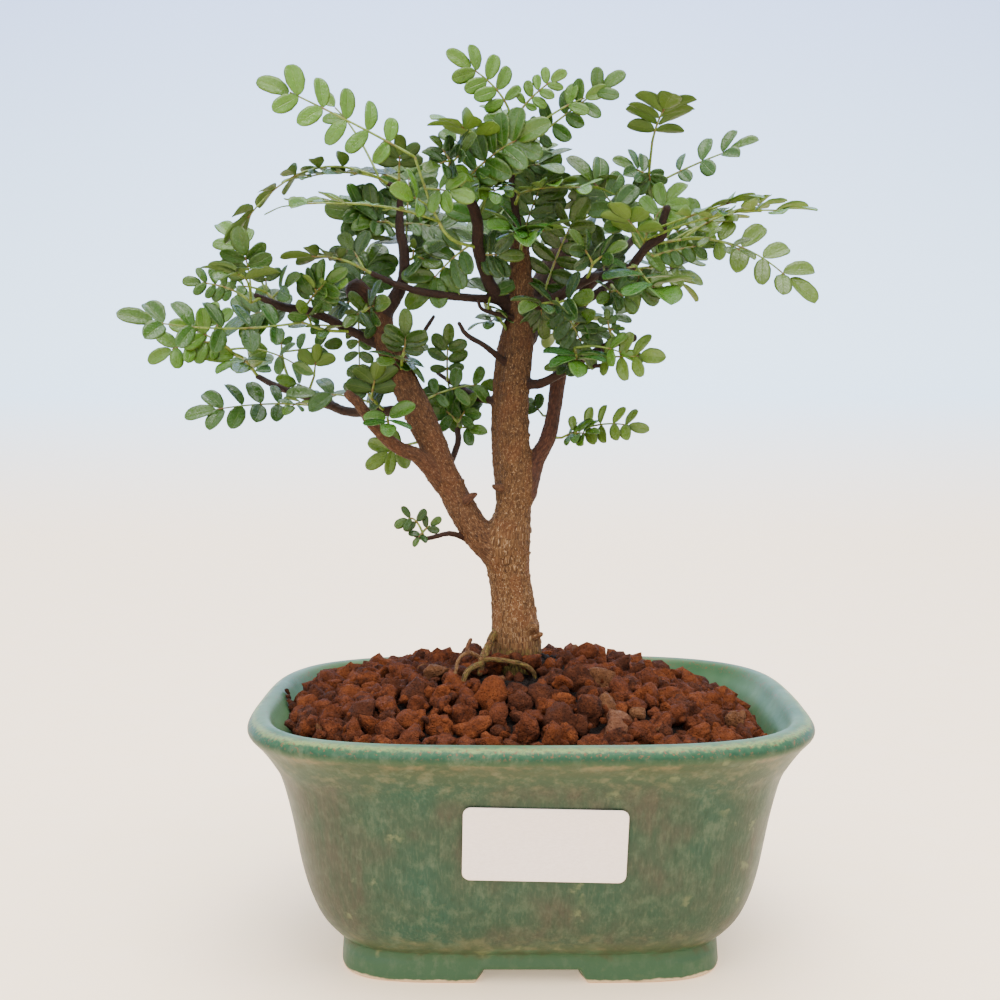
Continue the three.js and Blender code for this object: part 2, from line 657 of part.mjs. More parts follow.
    leaves: [
      { at: 1, tip: [-2, 42, 201], pairs: 1, size: 8, face: "up", bare: 0.28 },
      { at: 1, tip: [16, 46, 187], pairs: 1, size: 8, face: "up", bare: 0.28 },
    ],
  },
  {
    name: "tuft_back_right", tone: "mid", limb: "right_back", at: 0.3,
    stem: [[25, 20, 189]],
    leaves: [
      { at: 1, tip: [36, 44, 182], pairs: 1, size: 8, face: "up", bare: 0.28 },
      { at: 1, tip: [20, 44, 200], pairs: 1, size: 8, face: "up", bare: 0.28 },
    ],
  },
  {
    name: "tuft_back_side", tone: "mid", limb: "side_twig", at: 1,
    stem: [[11, 18, 173]],
    leaves: [
      { at: 0, tip: [21, 40, 168], pairs: 1, size: 8, face: "up", bare: 0.28 },
    ],
  },
  {
    name: "tuft_back_left", tone: "dark", limb: "left_leader", at: 0.4,
    stem: [[-33, 0, 191]],
    leaves: [
      { at: 1, tip: [-25, 24, 201], pairs: 1, size: 8, face: "up", bare: 0.28 },
      { at: 1, tip: [-46, 13, 194], pairs: 1, size: 8, face: "up", bare: 0.28 },
    ],
  },
  {
    name: "tuft_back_limb", tone: "mid", limb: "back_limb", at: 1,
    stem: [[-12, 36, 193]],
    leaves: [
      { at: 1, tip: [-23, 52, 202], pairs: 1, size: 9, face: "up", bare: 0.28 },
      { at: 1, tip: [-5, 44, 206], pairs: 1, size: 8, face: "up", bare: 0.28 },
    ],
  },
  {
    name: "tuft_back_mid", tone: "dark", limb: "back_limb", at: 0.6,
    stem: [[-8, 24, 181]],
    leaves: [
      { at: 1, tip: [-20, 48, 180], pairs: 1, size: 9, face: "up", bare: 0.28 },
      { at: 1, tip: [4, 44, 183], pairs: 1, size: 8, face: "up", bare: 0.28 },
    ],
  },
  {
    name: "tuft_back_low", tone: "mid", limb: "low_left_branch", at: 0.35,
    stem: [[-54, 14, 146]],
    leaves: [
      { at: 0, tip: [-62, 46, 145], pairs: 1, size: 8, face: "up", bare: 0.28 },
    ],
  },
];

// Solids and their joining

function solid(points, faces) {
  const mesh = new wasm.Mesh({
    numProp: 3,
    vertProperties: Float32Array.from(points.flatMap((p) => [p.x, p.y, p.z])),
    triVerts: Uint32Array.from(faces.flat()),
  });
  return new wasm.Manifold(mesh);
}

function biggestPiece(body) {
  const pieces = body.decompose();
  return pieces.reduce((best, piece) => (piece.volume() > best.volume() ? piece : best));
}

function meshOf(name, body, material) {
  const { vertProperties, triVerts } = body.getMesh();
  const geometry = new THREE.BufferGeometry();
  geometry.setAttribute("position", new THREE.BufferAttribute(Float32Array.from(vertProperties), 3));
  geometry.setIndex(new THREE.BufferAttribute(Uint32Array.from(triVerts), 1));
  geometry.computeVertexNormals();
  const mesh = new THREE.Mesh(geometry, material);
  mesh.name = name;
  return mesh;
}

// a closed skin over rings of points that run anticlockwise seen from the last ring
function loft(rings) {
  const count = rings[0].length;
  const faces = [];
  for (let i = 0; i + 1 < rings.length; i += 1) {
    for (let j = 0; j < count; j += 1) {
      const a = i * count + j;
      const b = i * count + ((j + 1) % count);
      faces.push([a, b, b + count], [a, b + count, a + count]);
    }
  }
  const top = (rings.length - 1) * count;
  for (let j = 1; j + 1 < count; j += 1) {
    faces.push([0, j + 1, j], [top, top + j, top + j + 1]);
  }
  return solid(rings.flat(), faces);
}

// a tapering round limb through its stations
function tube(path, radii, sides, extra = 0) {
  const points = path.map((p) => (Array.isArray(p) ? new THREE.Vector3(...p) : p));
  let across = new THREE.Vector3(0, 1, 0);
  const rings = points.map((point, i) => {
    const before = points[Math.max(i - 1, 0)];
    const after = points[Math.min(i + 1, points.length - 1)];
    const along = after.clone().sub(before).normalize();
    across = across.addScaledVector(along, -across.dot(along)).normalize();
    const side = new THREE.Vector3().crossVectors(along, across);
    return Array.from({ length: sides }, (_, k) => {
      const angle = (2 * Math.PI * k) / sides;
      return point.clone()
        .addScaledVector(across, (radii[i] + extra) * Math.cos(angle))
        .addScaledVector(side, (radii[i] + extra) * Math.sin(angle));
    });
  });
  return loft(rings);
}

function box(centre, size) {
  const geometry = [];
  for (const z of [-0.5, 0.5]) {
    geometry.push([[-0.5, -0.5], [0.5, -0.5], [0.5, 0.5], [-0.5, 0.5]].map(
      ([x, y]) => new THREE.Vector3(x * size.x, y * size.y, z * size.z).add(centre),
    ));
  }
  return loft(geometry);
}

// repeatable noise from 0 to 1
function noise(seed, index) {
  const value = Math.sin(seed * 127.1 + index * 311.7) * 43758.5453;
  return value - Math.floor(value);
}

// Pot

function squareness(z) {
  if (z <= FOOT_HEIGHT) return FOOT_SQUARENESS;
  return THREE.MathUtils.mapLinear(z, FOOT_HEIGHT, POT_HEIGHT, WALL_SQUARENESS, RIM_SQUARENESS);
}

function planRing(halfWidth, z, height = z) {
  const power = 2 / squareness(z);
  return Array.from({ length: POT_SEGMENTS }, (_, k) => {
    const angle = (2 * Math.PI * k) / POT_SEGMENTS;
    const cos = Math.cos(angle);
    const sin = Math.sin(angle);
    return new THREE.Vector3(
      halfWidth * Math.sign(cos) * Math.abs(cos) ** power,
      (halfWidth - POT_NARROWING) * Math.sign(sin) * Math.abs(sin) ** power,
      height,
    );
  });
}

function halfWidthAt(profile, z) {
  const above = profile.findIndex(([, height]) => height >= z);
  const [w1, z1] = profile[Math.max(above, 1)];
  const [w0, z0] = profile[Math.max(above, 1) - 1];
  return THREE.MathUtils.mapLinear(z, z0, z1, w0, w1);
}

function makePot() {
  const outside = loft(POT_OUTSIDE.map(([w, z]) => planRing(w, z)));
  const inside = loft(POT_INSIDE.map(([w, z]) => planRing(w, z)));
  const below = -1;
  const footHalfWidth = POT_OUTSIDE[0][0];
  const floorTop = POT_INSIDE[0][1];
  const hollow = loft([below, RECESS_HEIGHT].map((z) => planRing(footHalfWidth - FOOT_WALL, z)));
  const cut = (z, halfLength, halfWidth, across) => {
    const corners = [[-1, -1], [1, -1], [1, 1], [-1, 1]];
    return corners.map(([u, v]) => (across
      ? new THREE.Vector3(u * halfLength, v * halfWidth, z)
      : new THREE.Vector3(u * halfWidth, v * halfLength, z)));
  };
  const recess = (across) => loft([
    cut(below, RECESS_HALF_LENGTH, RECESS_HALF_WIDTH_BELOW, across),
    cut(RECESS_HEIGHT, RECESS_HALF_LENGTH, RECESS_HALF_WIDTH_ABOVE, across),
  ]);
  let pot = outside.subtract(inside).subtract(hollow).subtract(recess(false)).subtract(recess(true));
  for (const x of [-DRAIN_OFFSET, DRAIN_OFFSET]) {
    const drain = tube([[x, 0, 0], [x, 0, floorTop + 1]], [DRAIN_RADIUS, DRAIN_RADIUS], DRAIN_SIDES);
    pot = pot.subtract(drain);
  }
  return pot;
}

// plastic mesh over a drain hole, under the granules
function makeScreen(x) {
  const bottom = POT_INSIDE[0][1] + GAP;
  const middle = new THREE.Vector3(x, 0, bottom + SCREEN_THICKNESS / 2);
  let screen = box(middle, new THREE.Vector3(SCREEN_SIZE, SCREEN_SIZE, SCREEN_THICKNESS));
  const pitch = SCREEN_SIZE / (SCREEN_SLOTS + 1);
  for (let k = 0; k < SCREEN_SLOTS; k += 1) {
    const centre = middle.clone().setX(x + (k - (SCREEN_SLOTS - 1) / 2) * pitch);
    const slot = new THREE.Vector3(pitch / 2, SCREEN_SIZE - 2 * SCREEN_BORDER, 3 * SCREEN_THICKNESS);
    screen = screen.subtract(box(centre, slot));
  }
  return screen;
}

// the pot's front at a place seen from the front
function potFront(x, z, proud) {
  const halfWidth = halfWidthAt(POT_OUTSIDE, z);
  const power = squareness(z);
  const share = 1 - Math.abs(x / halfWidth) ** power;
  return new THREE.Vector3(x, -(halfWidth - POT_NARROWING) * share ** (1 / power) - proud, z);
}

function makeLabel() {
  const sheet = (proud) => {
    const points = [];
    for (const v of [-LABEL.height / 2, LABEL.height / 2]) {
      for (let c = 0; c <= LABEL_COLUMNS; c += 1) {
        const u = (c / LABEL_COLUMNS - 0.5) * LABEL.width;
        points.push(potFront(
          LABEL.x + u * Math.cos(LABEL.turn) - v * Math.sin(LABEL.turn),
          LABEL.z + u * Math.sin(LABEL.turn) + v * Math.cos(LABEL.turn),
          proud,
        ));
      }
    }
    return points;
  };
  const faces = [];
  for (let a = 0; a < LABEL_COLUMNS; a += 1) {
    const b = a + LABEL_COLUMNS + 1;
    faces.push([a, a + 1, b + 1], [a, b + 1, b]);
  }
  return thicken(sheet(GAP + LABEL.thickness), sheet(GAP), faces);
}

// a closed plate between two like sheets of points, split alike on both faces
function thicken(front, back, faces) {
  const count = front.length;
  const edges = new Set(faces.flatMap(([a, b, c]) => [`${a} ${b}`, `${b} ${c}`, `${c} ${a}`]));
  const all = faces.map((face) => [...face]);
  for (const [a, b, c] of faces) {
    all.push([a + count, c + count, b + count]);
  }
  for (const edge of edges) {
    const [a, b] = edge.split(" ").map(Number);
    if (!edges.has(`${b} ${a}`)) {
      all.push([b, a, a + count], [b, a + count, b + count]);
    }
  }
  return solid([...front, ...back], all);
}

// Soil

// height of the granules' tops: a dome that falls to a bank along the pot's wall
function soilTop(x, y) {
  const halfWidth = halfWidthAt(POT_INSIDE, SOIL_EDGE);
  const power = squareness(SOIL_EDGE);
  const way = (Math.abs(x / halfWidth) ** power
    + Math.abs(y / (halfWidth - POT_NARROWING)) ** power) ** (1 / power);
  const reach = Math.min(way, 1.05);
  const edge = SOIL_EDGE - (SOIL_TILT * x) / halfWidth;
  const bank = (SOIL_BANK_DROP * Math.max(0, reach - SOIL_BANK)) / (1 - SOIL_BANK);
  return SOIL_CREST - (SOIL_CREST - edge) * reach ** SOIL_FALL - bank;
}

function soilWall(zTop) {
  const bottom = POT_INSIDE[0][1] + 2 * GAP + SCREEN_THICKNESS;
  const between = POT_INSIDE.map(([, z]) => z).filter((z) => z > bottom && z < zTop);
  return [bottom, ...between, zTop].map((z) => {
    const within = Math.min(z, POT_HEIGHT);
    return planRing(halfWidthAt(POT_INSIDE, within) - 2 * GAP, within, z);
  });
}

// the granules as relief: one lump to each cell of a shaken honeycomb, its top a little
// turned and tilted, with valleys at the corners that the cells share
function makeRelief() {
  const points = [];
  const cornerAt = new Map();
  const faces = [];
  const addPoint = (x, y, lift) => points.push(new THREE.Vector3(x, y, soilTop(x, y) + lift)) - 1;
  const shake = (index) => (noise(GRANULE_SEED, index) - 0.5) * GRANULE_PITCH;
  const rowPitch = GRANULE_PITCH * Math.sin(Math.PI / 3);
  const radius = GRANULE_PITCH / Math.sqrt(3);
  let cell = 0;
  for (let row = -GRANULE_ROWS; row <= GRANULE_ROWS; row += 1) {
    for (let column = -GRANULE_COLUMNS; column <= GRANULE_COLUMNS; column += 1) {
      cell += 1;
      const x = (column + 0.5 * (Math.abs(row) % 2)) * GRANULE_PITCH;
      const y = row * rowPitch;
      const rim = Array.from({ length: 6 }, (_, k) => {
        const angle = (Math.PI * (2 * k + 1)) / 6;
        const cornerX = x + radius * Math.cos(angle);
        const cornerY = y + radius * Math.sin(angle);
        const key = `${Math.round(cornerX)} ${Math.round(cornerY)}`;
        if (!cornerAt.has(key)) {
          const id = cornerAt.size * 2;
          const aside = CORNER_SHAKE * shake(id);
          const away = CORNER_SHAKE * shake(id + 1);
          cornerAt.set(key, addPoint(cornerX + aside, cornerY + away, -VALLEY_DEPTH));
        }
        return { angle, point: cornerAt.get(key) };
      });
      const turn = noise(GRANULE_SEED, 5000 + cell) * 0.5;
      const topLift = TOP_SHAKE * (noise(GRANULE_SEED, 6000 + cell) - 0.5);
      const top = Array.from({ length: 4 }, (_, k) => {
        const angle = (Math.PI * k) / 2 + turn;
        const reach = radius * (TOP_REACH + TOP_REACH_SHAKE * noise(GRANULE_SEED, 7000 + cell * 4 + k));
        const lift = topLift + TOP_TILT * (noise(GRANULE_SEED, 9000 + cell * 4 + k) - 0.5);
        return { angle, point: addPoint(x + reach * Math.cos(angle), y + reach * Math.sin(angle), lift) };
      });
      zip(rim, top, faces);
      faces.push([top[0].point, top[1].point, top[2].point], [top[0].point, top[2].point, top[3].point]);
    }
  }
  const floor = points.map((p) => new THREE.Vector3(p.x, p.y, 0));
  return thicken(points, floor, faces);
}

// triangles between an outer and an inner round of points, both anticlockwise
function zip(outer, inner, faces) {
  let i = 0;
  let j = 0;
  const angleOf = (round, k) => round[k % round.length].angle + 2 * Math.PI * Math.floor(k / round.length);
  const pointOf = (round, k) => round[k % round.length].point;
  while (i < outer.length || j < inner.length) {
    const innerDone = j >= inner.length;
    if (i < outer.length && (innerDone || angleOf(outer, i + 1) < angleOf(inner, j + 1))) {
      faces.push([pointOf(outer, i), pointOf(outer, i + 1), pointOf(inner, j)]);
      i += 1;
    } else {
      faces.push([pointOf(outer, i), pointOf(inner, j + 1), pointOf(inner, j)]);
      j += 1;
    }
  }
}

function makeSoil(roots) {
  const hollow = tube(ROOT_HOLLOW, ROOT_HOLLOW_RADII, ROOT_HOLLOW_SIDES);
  const wall = loft(soilWall(SOIL_CREST + GRANULE_PITCH));
  return biggestPiece(makeRelief().intersect(wall).subtract(hollow).subtract(roots));
}

// Wood

function makeWood(extra = 0) {
  const limbs = Object.values(LIMBS).map(({ path, radii, sides }) => tube(path, radii, sides, extra));
  return wasm.Manifold.union(limbs);
}

function limbPoint(name, share) {
  const { path } = LIMBS[name];
  const place = share * (path.length - 1);
  const i = Math.min(Math.floor(place), path.length - 2);
  return new THREE.Vector3(...path[i]).lerp(new THREE.Vector3(...path[i + 1]), place - i);
}

// Leaves

// The leaflets along a rib, the one at its end last. Each is narrow enough to clear the next one.
function leafletRow(leaf, length, start, end, longest, lastLength) {
  const row = [];
  for (let k = 0; k < leaf.pairs; k += 1) {
    const t = start + ((end - start) * (k + 0.75)) / leaf.pairs - LEAFLET_FOOT / length;
    const back = leaf.pairs > 1 ? (leaf.pairs - 1 - k) / (leaf.pairs - 1) : 0;
    const spread = THREE.MathUtils.degToRad(SPREAD_LAST + (SPREAD_FIRST - SPREAD_LAST) * back);
    row.push({ t, spread, size: longest * (k === 0 && leaf.pairs > 2 ? 0.8 : 1) });
  }
  row.push({ t: end, spread: 0, size: lastLength });
  const middles = row.map(({ t, spread, size }) => (
    new THREE.Vector2(Math.cos(spread), Math.sin(spread))
      .multiplyScalar(LEAFLET_WIDEST * size)
      .add(new THREE.Vector2(t * length, 0))
  ));
  row.forEach((leaflet, k) => {
    const beside = [middles[k - 1], middles[k + 1]].filter((other) => other);
    const room = Math.min(...beside.map((other) => other.distanceTo(middles[k])));
    leaflet.width = Math.min(leaflet.size * LEAFLET_RATIO, room * LEAFLET_ROOM);
  });
  return row;
}

// a pinnate leaf as one thin arched blade: a rib with leaflets cut down to it
function leafBlade(base, leaf) {
  const tip = new THREE.Vector3(...leaf.tip);
  const chord = base.distanceTo(tip);
  const middle = base.clone().add(tip).multiplyScalar(0.5);
  const arched = middle.clone().setZ(middle.z + LEAF_ARCH * chord);
  const via = leaf.via ? new THREE.Vector3(...leaf.via) : arched;
  const bend = via.multiplyScalar(2).sub(middle);
  const curve = new THREE.QuadraticBezierCurve3(base, bend, tip);
  const length = curve.getLength();
  const face = FACES[leaf.face];
  const points = [];
  const up = [];
  const addPoint = (t, along, aside, lift) => {
    const tangent = curve.getTangent(t);
    const side = new THREE.Vector3().crossVectors(face, tangent).normalize();
    const normal = new THREE.Vector3().crossVectors(tangent, side);
    const point = curve.getPoint(t)
      .addScaledVector(tangent, along)
      .addScaledVector(side, aside)
      .addScaledVector(normal, lift);
    points.push(point);
    up.push(normal);
    return points.length - 1;
  };
  const faces = [];
  const fan = (corners) => {
    for (let k = 1; k + 1 < corners.length; k += 1) {
      faces.push([corners[0], corners[k], corners[k + 1]]);
    }
  };
  const longest = length * (leaf.pairs > 0 ? LEAFLET_SHARE : 0.95);
  const lastLength = Math.min(leaf.size * 1.1, longest);
  const end = 1 - lastLength / length;
  const start = Math.max(0, Math.min(leaf.bare, end - (leaf.pairs * LEAST_PITCH) / length));
  const leaflets = leafletRow(leaf, length, start, end, Math.min(leaf.size, longest), lastLength);
  const last = leaflets.pop();
  let left = addPoint(0, 0, RIB_HALF_WIDTH, 0);
  let right = addPoint(0, 0, -RIB_HALF_WIDTH, 0);
  for (const { t, spread, size, width } of leaflets) {
    const rib = [1, -1].map((sign) => (
      [-LEAFLET_FOOT, LEAFLET_FOOT].map((along) => addPoint(t, along, sign * RIB_HALF_WIDTH, 0))
    ));
    fan([left, right, rib[1][0], rib[0][0]]);
    fan([rib[0][0], rib[1][0], rib[1][1], rib[0][1]]);
    [1, -1].forEach((sign, n) => {
      const half = width / 2;
      const rim = [[size * LEAFLET_WIDEST, -half], [size, 0], [size * LEAFLET_WIDEST, half]];
      const outline = rim.map(([far, wide]) => {
        const along = far * Math.cos(spread) + wide * Math.sin(spread);
        const aside = far * Math.sin(spread) - wide * Math.cos(spread);
        return addPoint(t, along, sign * (RIB_HALF_WIDTH + aside), LEAFLET_LIFT * aside);
      });
      const corners = [rib[n][0], ...outline, rib[n][1]];
      fan(sign > 0 ? corners.reverse() : corners);
    });
    [left, right] = [rib[0][1], rib[1][1]];
  }
  const wide = last.width / 2;
  const widest = end + (LEAFLET_WIDEST * lastLength) / length;
  const lift = LEAFLET_LIFT * wide;
  const rim = [addPoint(widest, 0, -wide, lift), addPoint(1, 0, 0, 0), addPoint(widest, 0, wide, lift)];
  fan([left, right, ...rim]);
  const shifted = (amount) => points.map((p, i) => p.clone().addScaledVector(up[i], amount));
  return thicken(shifted(BLADE_THICKNESS / 2), shifted(-BLADE_THICKNESS / 2), faces);
}

function stemPoint(stem, share) {
  const place = share * (stem.length - 1);
  const i = Math.min(Math.floor(place), stem.length - 2);
  return stem[i].clone().lerp(stem[i + 1], place - i);
}

// A stem starts a hair's breadth off the bark: it is moved out until it is clear.
// A spray whose only leaf sits at 0 has no stem: the leaf's rib starts there instead.
function makeSpray(spray, wood) {
  const limb = limbPoint(spray.limb, spray.at);
  const stem = spray.stem.map((p) => new THREE.Vector3(...p));
  const outward = stem[0].clone().sub(limb).normalize();
  const start = limb.clone();
  const stemRadii = [...stem, start].map(() => STEM_RADIUS);
  do {
    start.addScaledVector(outward, GAP / 2);
  } while (tube([start, ...stem], stemRadii, STEM_SIDES, GAP).intersect(wood).volume() > TOUCH_VOLUME);
  const path = [start, ...stem];
  const parts = spray.leaves.map((leaf) => leafBlade(stemPoint(path, leaf.at), leaf));
  if (spray.leaves.some((leaf) => leaf.at > 0)) {
    parts.push(tube(path, stemRadii, STEM_SIDES));
  }
  return biggestPiece(wasm.Manifold.union(parts));
}

// The whole

const finish = {
  glaze: new THREE.MeshStandardMaterial({ color: 0x5f8a6c, roughness: 0.32, metalness: 0 }),
  plastic: new THREE.MeshStandardMaterial({ color: 0x20221f, roughness: 0.6, metalness: 0 }),
  paper: new THREE.MeshStandardMaterial({ color: 0xf0e4de, roughness: 0.7, metalness: 0 }),
  granules: new THREE.MeshStandardMaterial({ color: 0x6e3c24, roughness: 0.95, metalness: 0 }),
  bark: new THREE.MeshStandardMaterial({ color: 0x7a5639, roughness: 0.9, metalness: 0 }),
};

const group = new THREE.Group();
const wood = makeWood();
const woodAndGap = makeWood(GAP);
group.add(meshOf("pot", makePot(), finish.glaze));
group.add(meshOf("drain_screen_left", makeScreen(-DRAIN_OFFSET), finish.plastic));
group.add(meshOf("drain_screen_right", makeScreen(DRAIN_OFFSET), finish.plastic));
group.add(meshOf("paper_label", makeLabel(), finish.paper));
group.add(meshOf("soil_granules", makeSoil(woodAndGap), finish.granules));
group.add(meshOf("tree_wood", wood, finish.bark));
for (const spray of SPRAYS) {
  const green = { color: GREENS[spray.tone], roughness: 0.45, metalness: 0 };
  group.add(meshOf(spray.name, makeSpray(spray, wood), new THREE.MeshStandardMaterial(green)));
}
group.position.copy(POT_SHIFT);

export default group;
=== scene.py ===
import itertools
import math

import bmesh
import bpy
import numpy as np
from mathutils import Matrix, Vector


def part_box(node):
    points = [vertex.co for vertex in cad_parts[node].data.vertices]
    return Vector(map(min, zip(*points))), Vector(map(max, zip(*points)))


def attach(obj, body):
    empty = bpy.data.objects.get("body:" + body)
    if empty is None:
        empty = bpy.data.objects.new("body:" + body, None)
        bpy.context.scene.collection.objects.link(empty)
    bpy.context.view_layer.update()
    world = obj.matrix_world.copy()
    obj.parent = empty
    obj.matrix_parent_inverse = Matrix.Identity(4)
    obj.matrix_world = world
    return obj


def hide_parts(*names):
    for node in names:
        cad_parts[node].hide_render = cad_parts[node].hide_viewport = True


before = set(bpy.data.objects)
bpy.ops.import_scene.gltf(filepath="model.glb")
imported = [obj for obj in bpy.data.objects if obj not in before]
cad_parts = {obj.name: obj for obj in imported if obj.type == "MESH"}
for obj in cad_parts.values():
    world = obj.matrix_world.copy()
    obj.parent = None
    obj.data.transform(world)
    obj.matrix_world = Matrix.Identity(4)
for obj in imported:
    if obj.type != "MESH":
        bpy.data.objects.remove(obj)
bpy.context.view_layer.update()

# Chinese pepper bonsai in a green glazed pot. The tables are in millimetres from the middle
# of the pot's foot, and every mesh is made in metres in the part's own frame.

MM = 0.001
pot_low, pot_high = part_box("pot")
POT_MIDDLE = np.array([(pot_low.x + pot_high.x) / 2, (pot_low.y + pot_high.y) / 2, 0])

# Camera: the photo's viewing angle, read from the pot's rim and foot
CAMERA_PLACE = (-8.1, -415.2, 153.2)
CAMERA_DOWN = 4.33  # degrees
CAMERA_LENS = 54
SENSOR_WIDTH = 36

# Lights, in metres: name, place, what it points at, size, watts, colour
LIGHTS = [
    ("overhead", (0.1, -0.25, 1.0), (0, 0, 0.1), 0.7, 16, (1, 0.98, 0.94)),
    ("front", (-0.5, -1.0, 0.55), (0, 0, 0.1), 0.8, 7, (1, 0.98, 0.96)),
    ("backdrop", (0, 1.1, 1.9), (0, 2.2, 0.5), 1.6, 60, (0.96, 0.98, 1)),
]
SKY_COLOUR = (0.96, 0.975, 1, 1)
SKY_STRENGTH = 1.75

# Floor, in metres: a sheet that curves up into a wall behind the pot
FLOOR_REACH = 3  # to the left, to the right and in front
FLOOR_TOP = 3
FLOOR_CURVE = 1.2  # radius
FLOOR_FLAT_END = 1
FLOOR_STEPS = 19

# Pot: half-widths at heights, up the outside to the rim and down the inside to the floor
POT_OUTSIDE = [
    (50.4, 7.3), (53.5, 10.3), (56.8, 14.7), (59.5, 20.9), (61.6, 28.5), (64.3, 42.1),
    (66.8, 51.5), (69.2, 56), (72.2, 60.3), (75, 63.6), (74.8, 65.6), (73.2, 66.9),
]
POT_INSIDE = [
    (70.3, 67), (68.2, 64), (65.6, 60), (61.6, 50), (57.5, 26), (52, 14), (46, 9),
]
POT_SIDES = 300  # points round each ring
POT_STEPS = 5  # rings from one row of the tables to the next
POT_NARROWING = 10.8  # half-width less half-depth, at every height
POT_UNEVEN = 0.25
FOOT_HALF_WIDTH = 50.8
FOOT_WALL = 6.5
FOOT_EDGE = 0.9  # radius of its rounded lower edges
FOOT_TOP = 7
UNDERSIDE = 3.7  # height of the pot's underside over the table
RECESS_TOP = 3.45
RECESS_HALF_WIDTH = 12.4
RECESS_SLANT = 2.6
CORNER_FOOT = 5.5  # exponents of the superellipse: squarer at the foot than at the rim
CORNER_LOW = 4.6
CORNER_RIM = 3.6
DRAIN_RADIUS = 5
DRAIN_OFFSET = 22
DRAIN_SIDES = 32
LABEL_SIZE = (40.7, 19.6)
LABEL_PLACE = (3, 40.6)
LABEL_TURN = -0.023  # radians
LABEL_CORNER = 2
LABEL_THICKNESS = 0.25
LABEL_GAP = 0.3  # from the wall
LABEL_SHARES = (1, 0.985, 0.9, 0.75, 0.6, 0.45, 0.3, 0.15, 0.02)  # sizes of its rings

# Granules
SOIL_TOP = 79
SOIL_RIM = 62.5
SOIL_TILT = 4.5  # how much higher the granules lie at the left end, and lower at the right
SOIL_FALL = 1.8
SOIL_BANK = 0.93  # share of the way to the wall where their bank falls off
SOIL_BANK_DROP = 5
# bare wet ground under the arching root, and right of the trunk
ROOT_HOLLOW = [(-12, -16.5), (-7.5, -17), (-3, -17.5), (0.5, -16)]
ROOT_BALL = [(5.5, -4)]
HOLLOW_DEPTH = 3.4
HOLLOW_RADIUS = 4.6
BARE_LIFT = 4
BARE_RADIUS = 4.8
BED_DEPTH = 4.6  # of the dark bed under the heap's surface
BED_HALF_WIDTH = 59.5
# half-widths of the bed at heights, down the pot's wall to its floor
BED_SIDES = ((60.5, 50), (56.5, 26), (50.5, 14), (44.5, 9.3))
WALL_GAP = 0.6  # between a lump and the pot's wall
TRUNK_ROOM = (-3.4, 0, 6.2)  # x, y and radius kept free of loose lumps
BARE_ROOM = 3.0  # radius kept free round each bare place
LARGE_COUNT = 560
SMALL_COUNT = 520
# The fill lumps are dark so that the gaps between the others look deep: painted shade
FILL_COUNT = 420  # dark ones deep between the others
WET_COUNT = 16  # small wet crumbs for each bare place
# kinds of lump: piece, material, share of the lumps, its dark, middle and light tone
LUMP_KINDS = [
    ("granules_red", "granule_red", 0.46, (34, 14, 7), (86, 42, 21), (120, 64, 35)),
    ("granules_orange", "granule_orange", 0.26, (42, 18, 8), (98, 48, 21), (130, 70, 34)),
    ("granules_dark", "granule_dark", 0.25, (26, 12, 7), (70, 35, 19), (102, 56, 33)),
    ("pebbles_tan", "pebble_tan", 0.015, (66, 38, 22), (100, 64, 40), (122, 84, 56)),
    ("pebbles_pink", "pebble_pink", 0.015, (66, 38, 27), (104, 66, 46), (130, 92, 68)),
]
DARK_KIND = 2
# lumps that stand out in the photo: x, y, radius, kind, height over the heap
SPECIAL_LUMPS = [
    (13.5, 2, 4.4, 0, -1.3), (-25, -11, 3.4, 3, -1), (54.5, -22, 3.4, 3, -1),
    (-7.5, -23, 1.1, 3, 0), (59, -40, 3.2, 0, -1), (-11, -10.5, 2, 0, 0.6),
    (-7.4, -9.8, 2.3, 0, 0.8), (-3.6, -10.3, 2, 2, 0.8), (0.2, -10.4, 2.6, 0, 0.3),
]
# crumbs that stick to the pot's inner wall: x, y, z, radius
CRUMBS = [
    (-68.4, 5, 65.2, 1.2), (-67.4, 2.5, 63.9, 1.5), (-69, 7.5, 66.2, 0.9), (-66.4, 0, 63, 1.6),
]
STRAW = [(-44.8, -38.4, 68.6), (-44, -36.6, 70.6), (-43, -34.6, 71.4), (-41.8, -32.6, 71)]
STRAW_RADIUS = 0.4

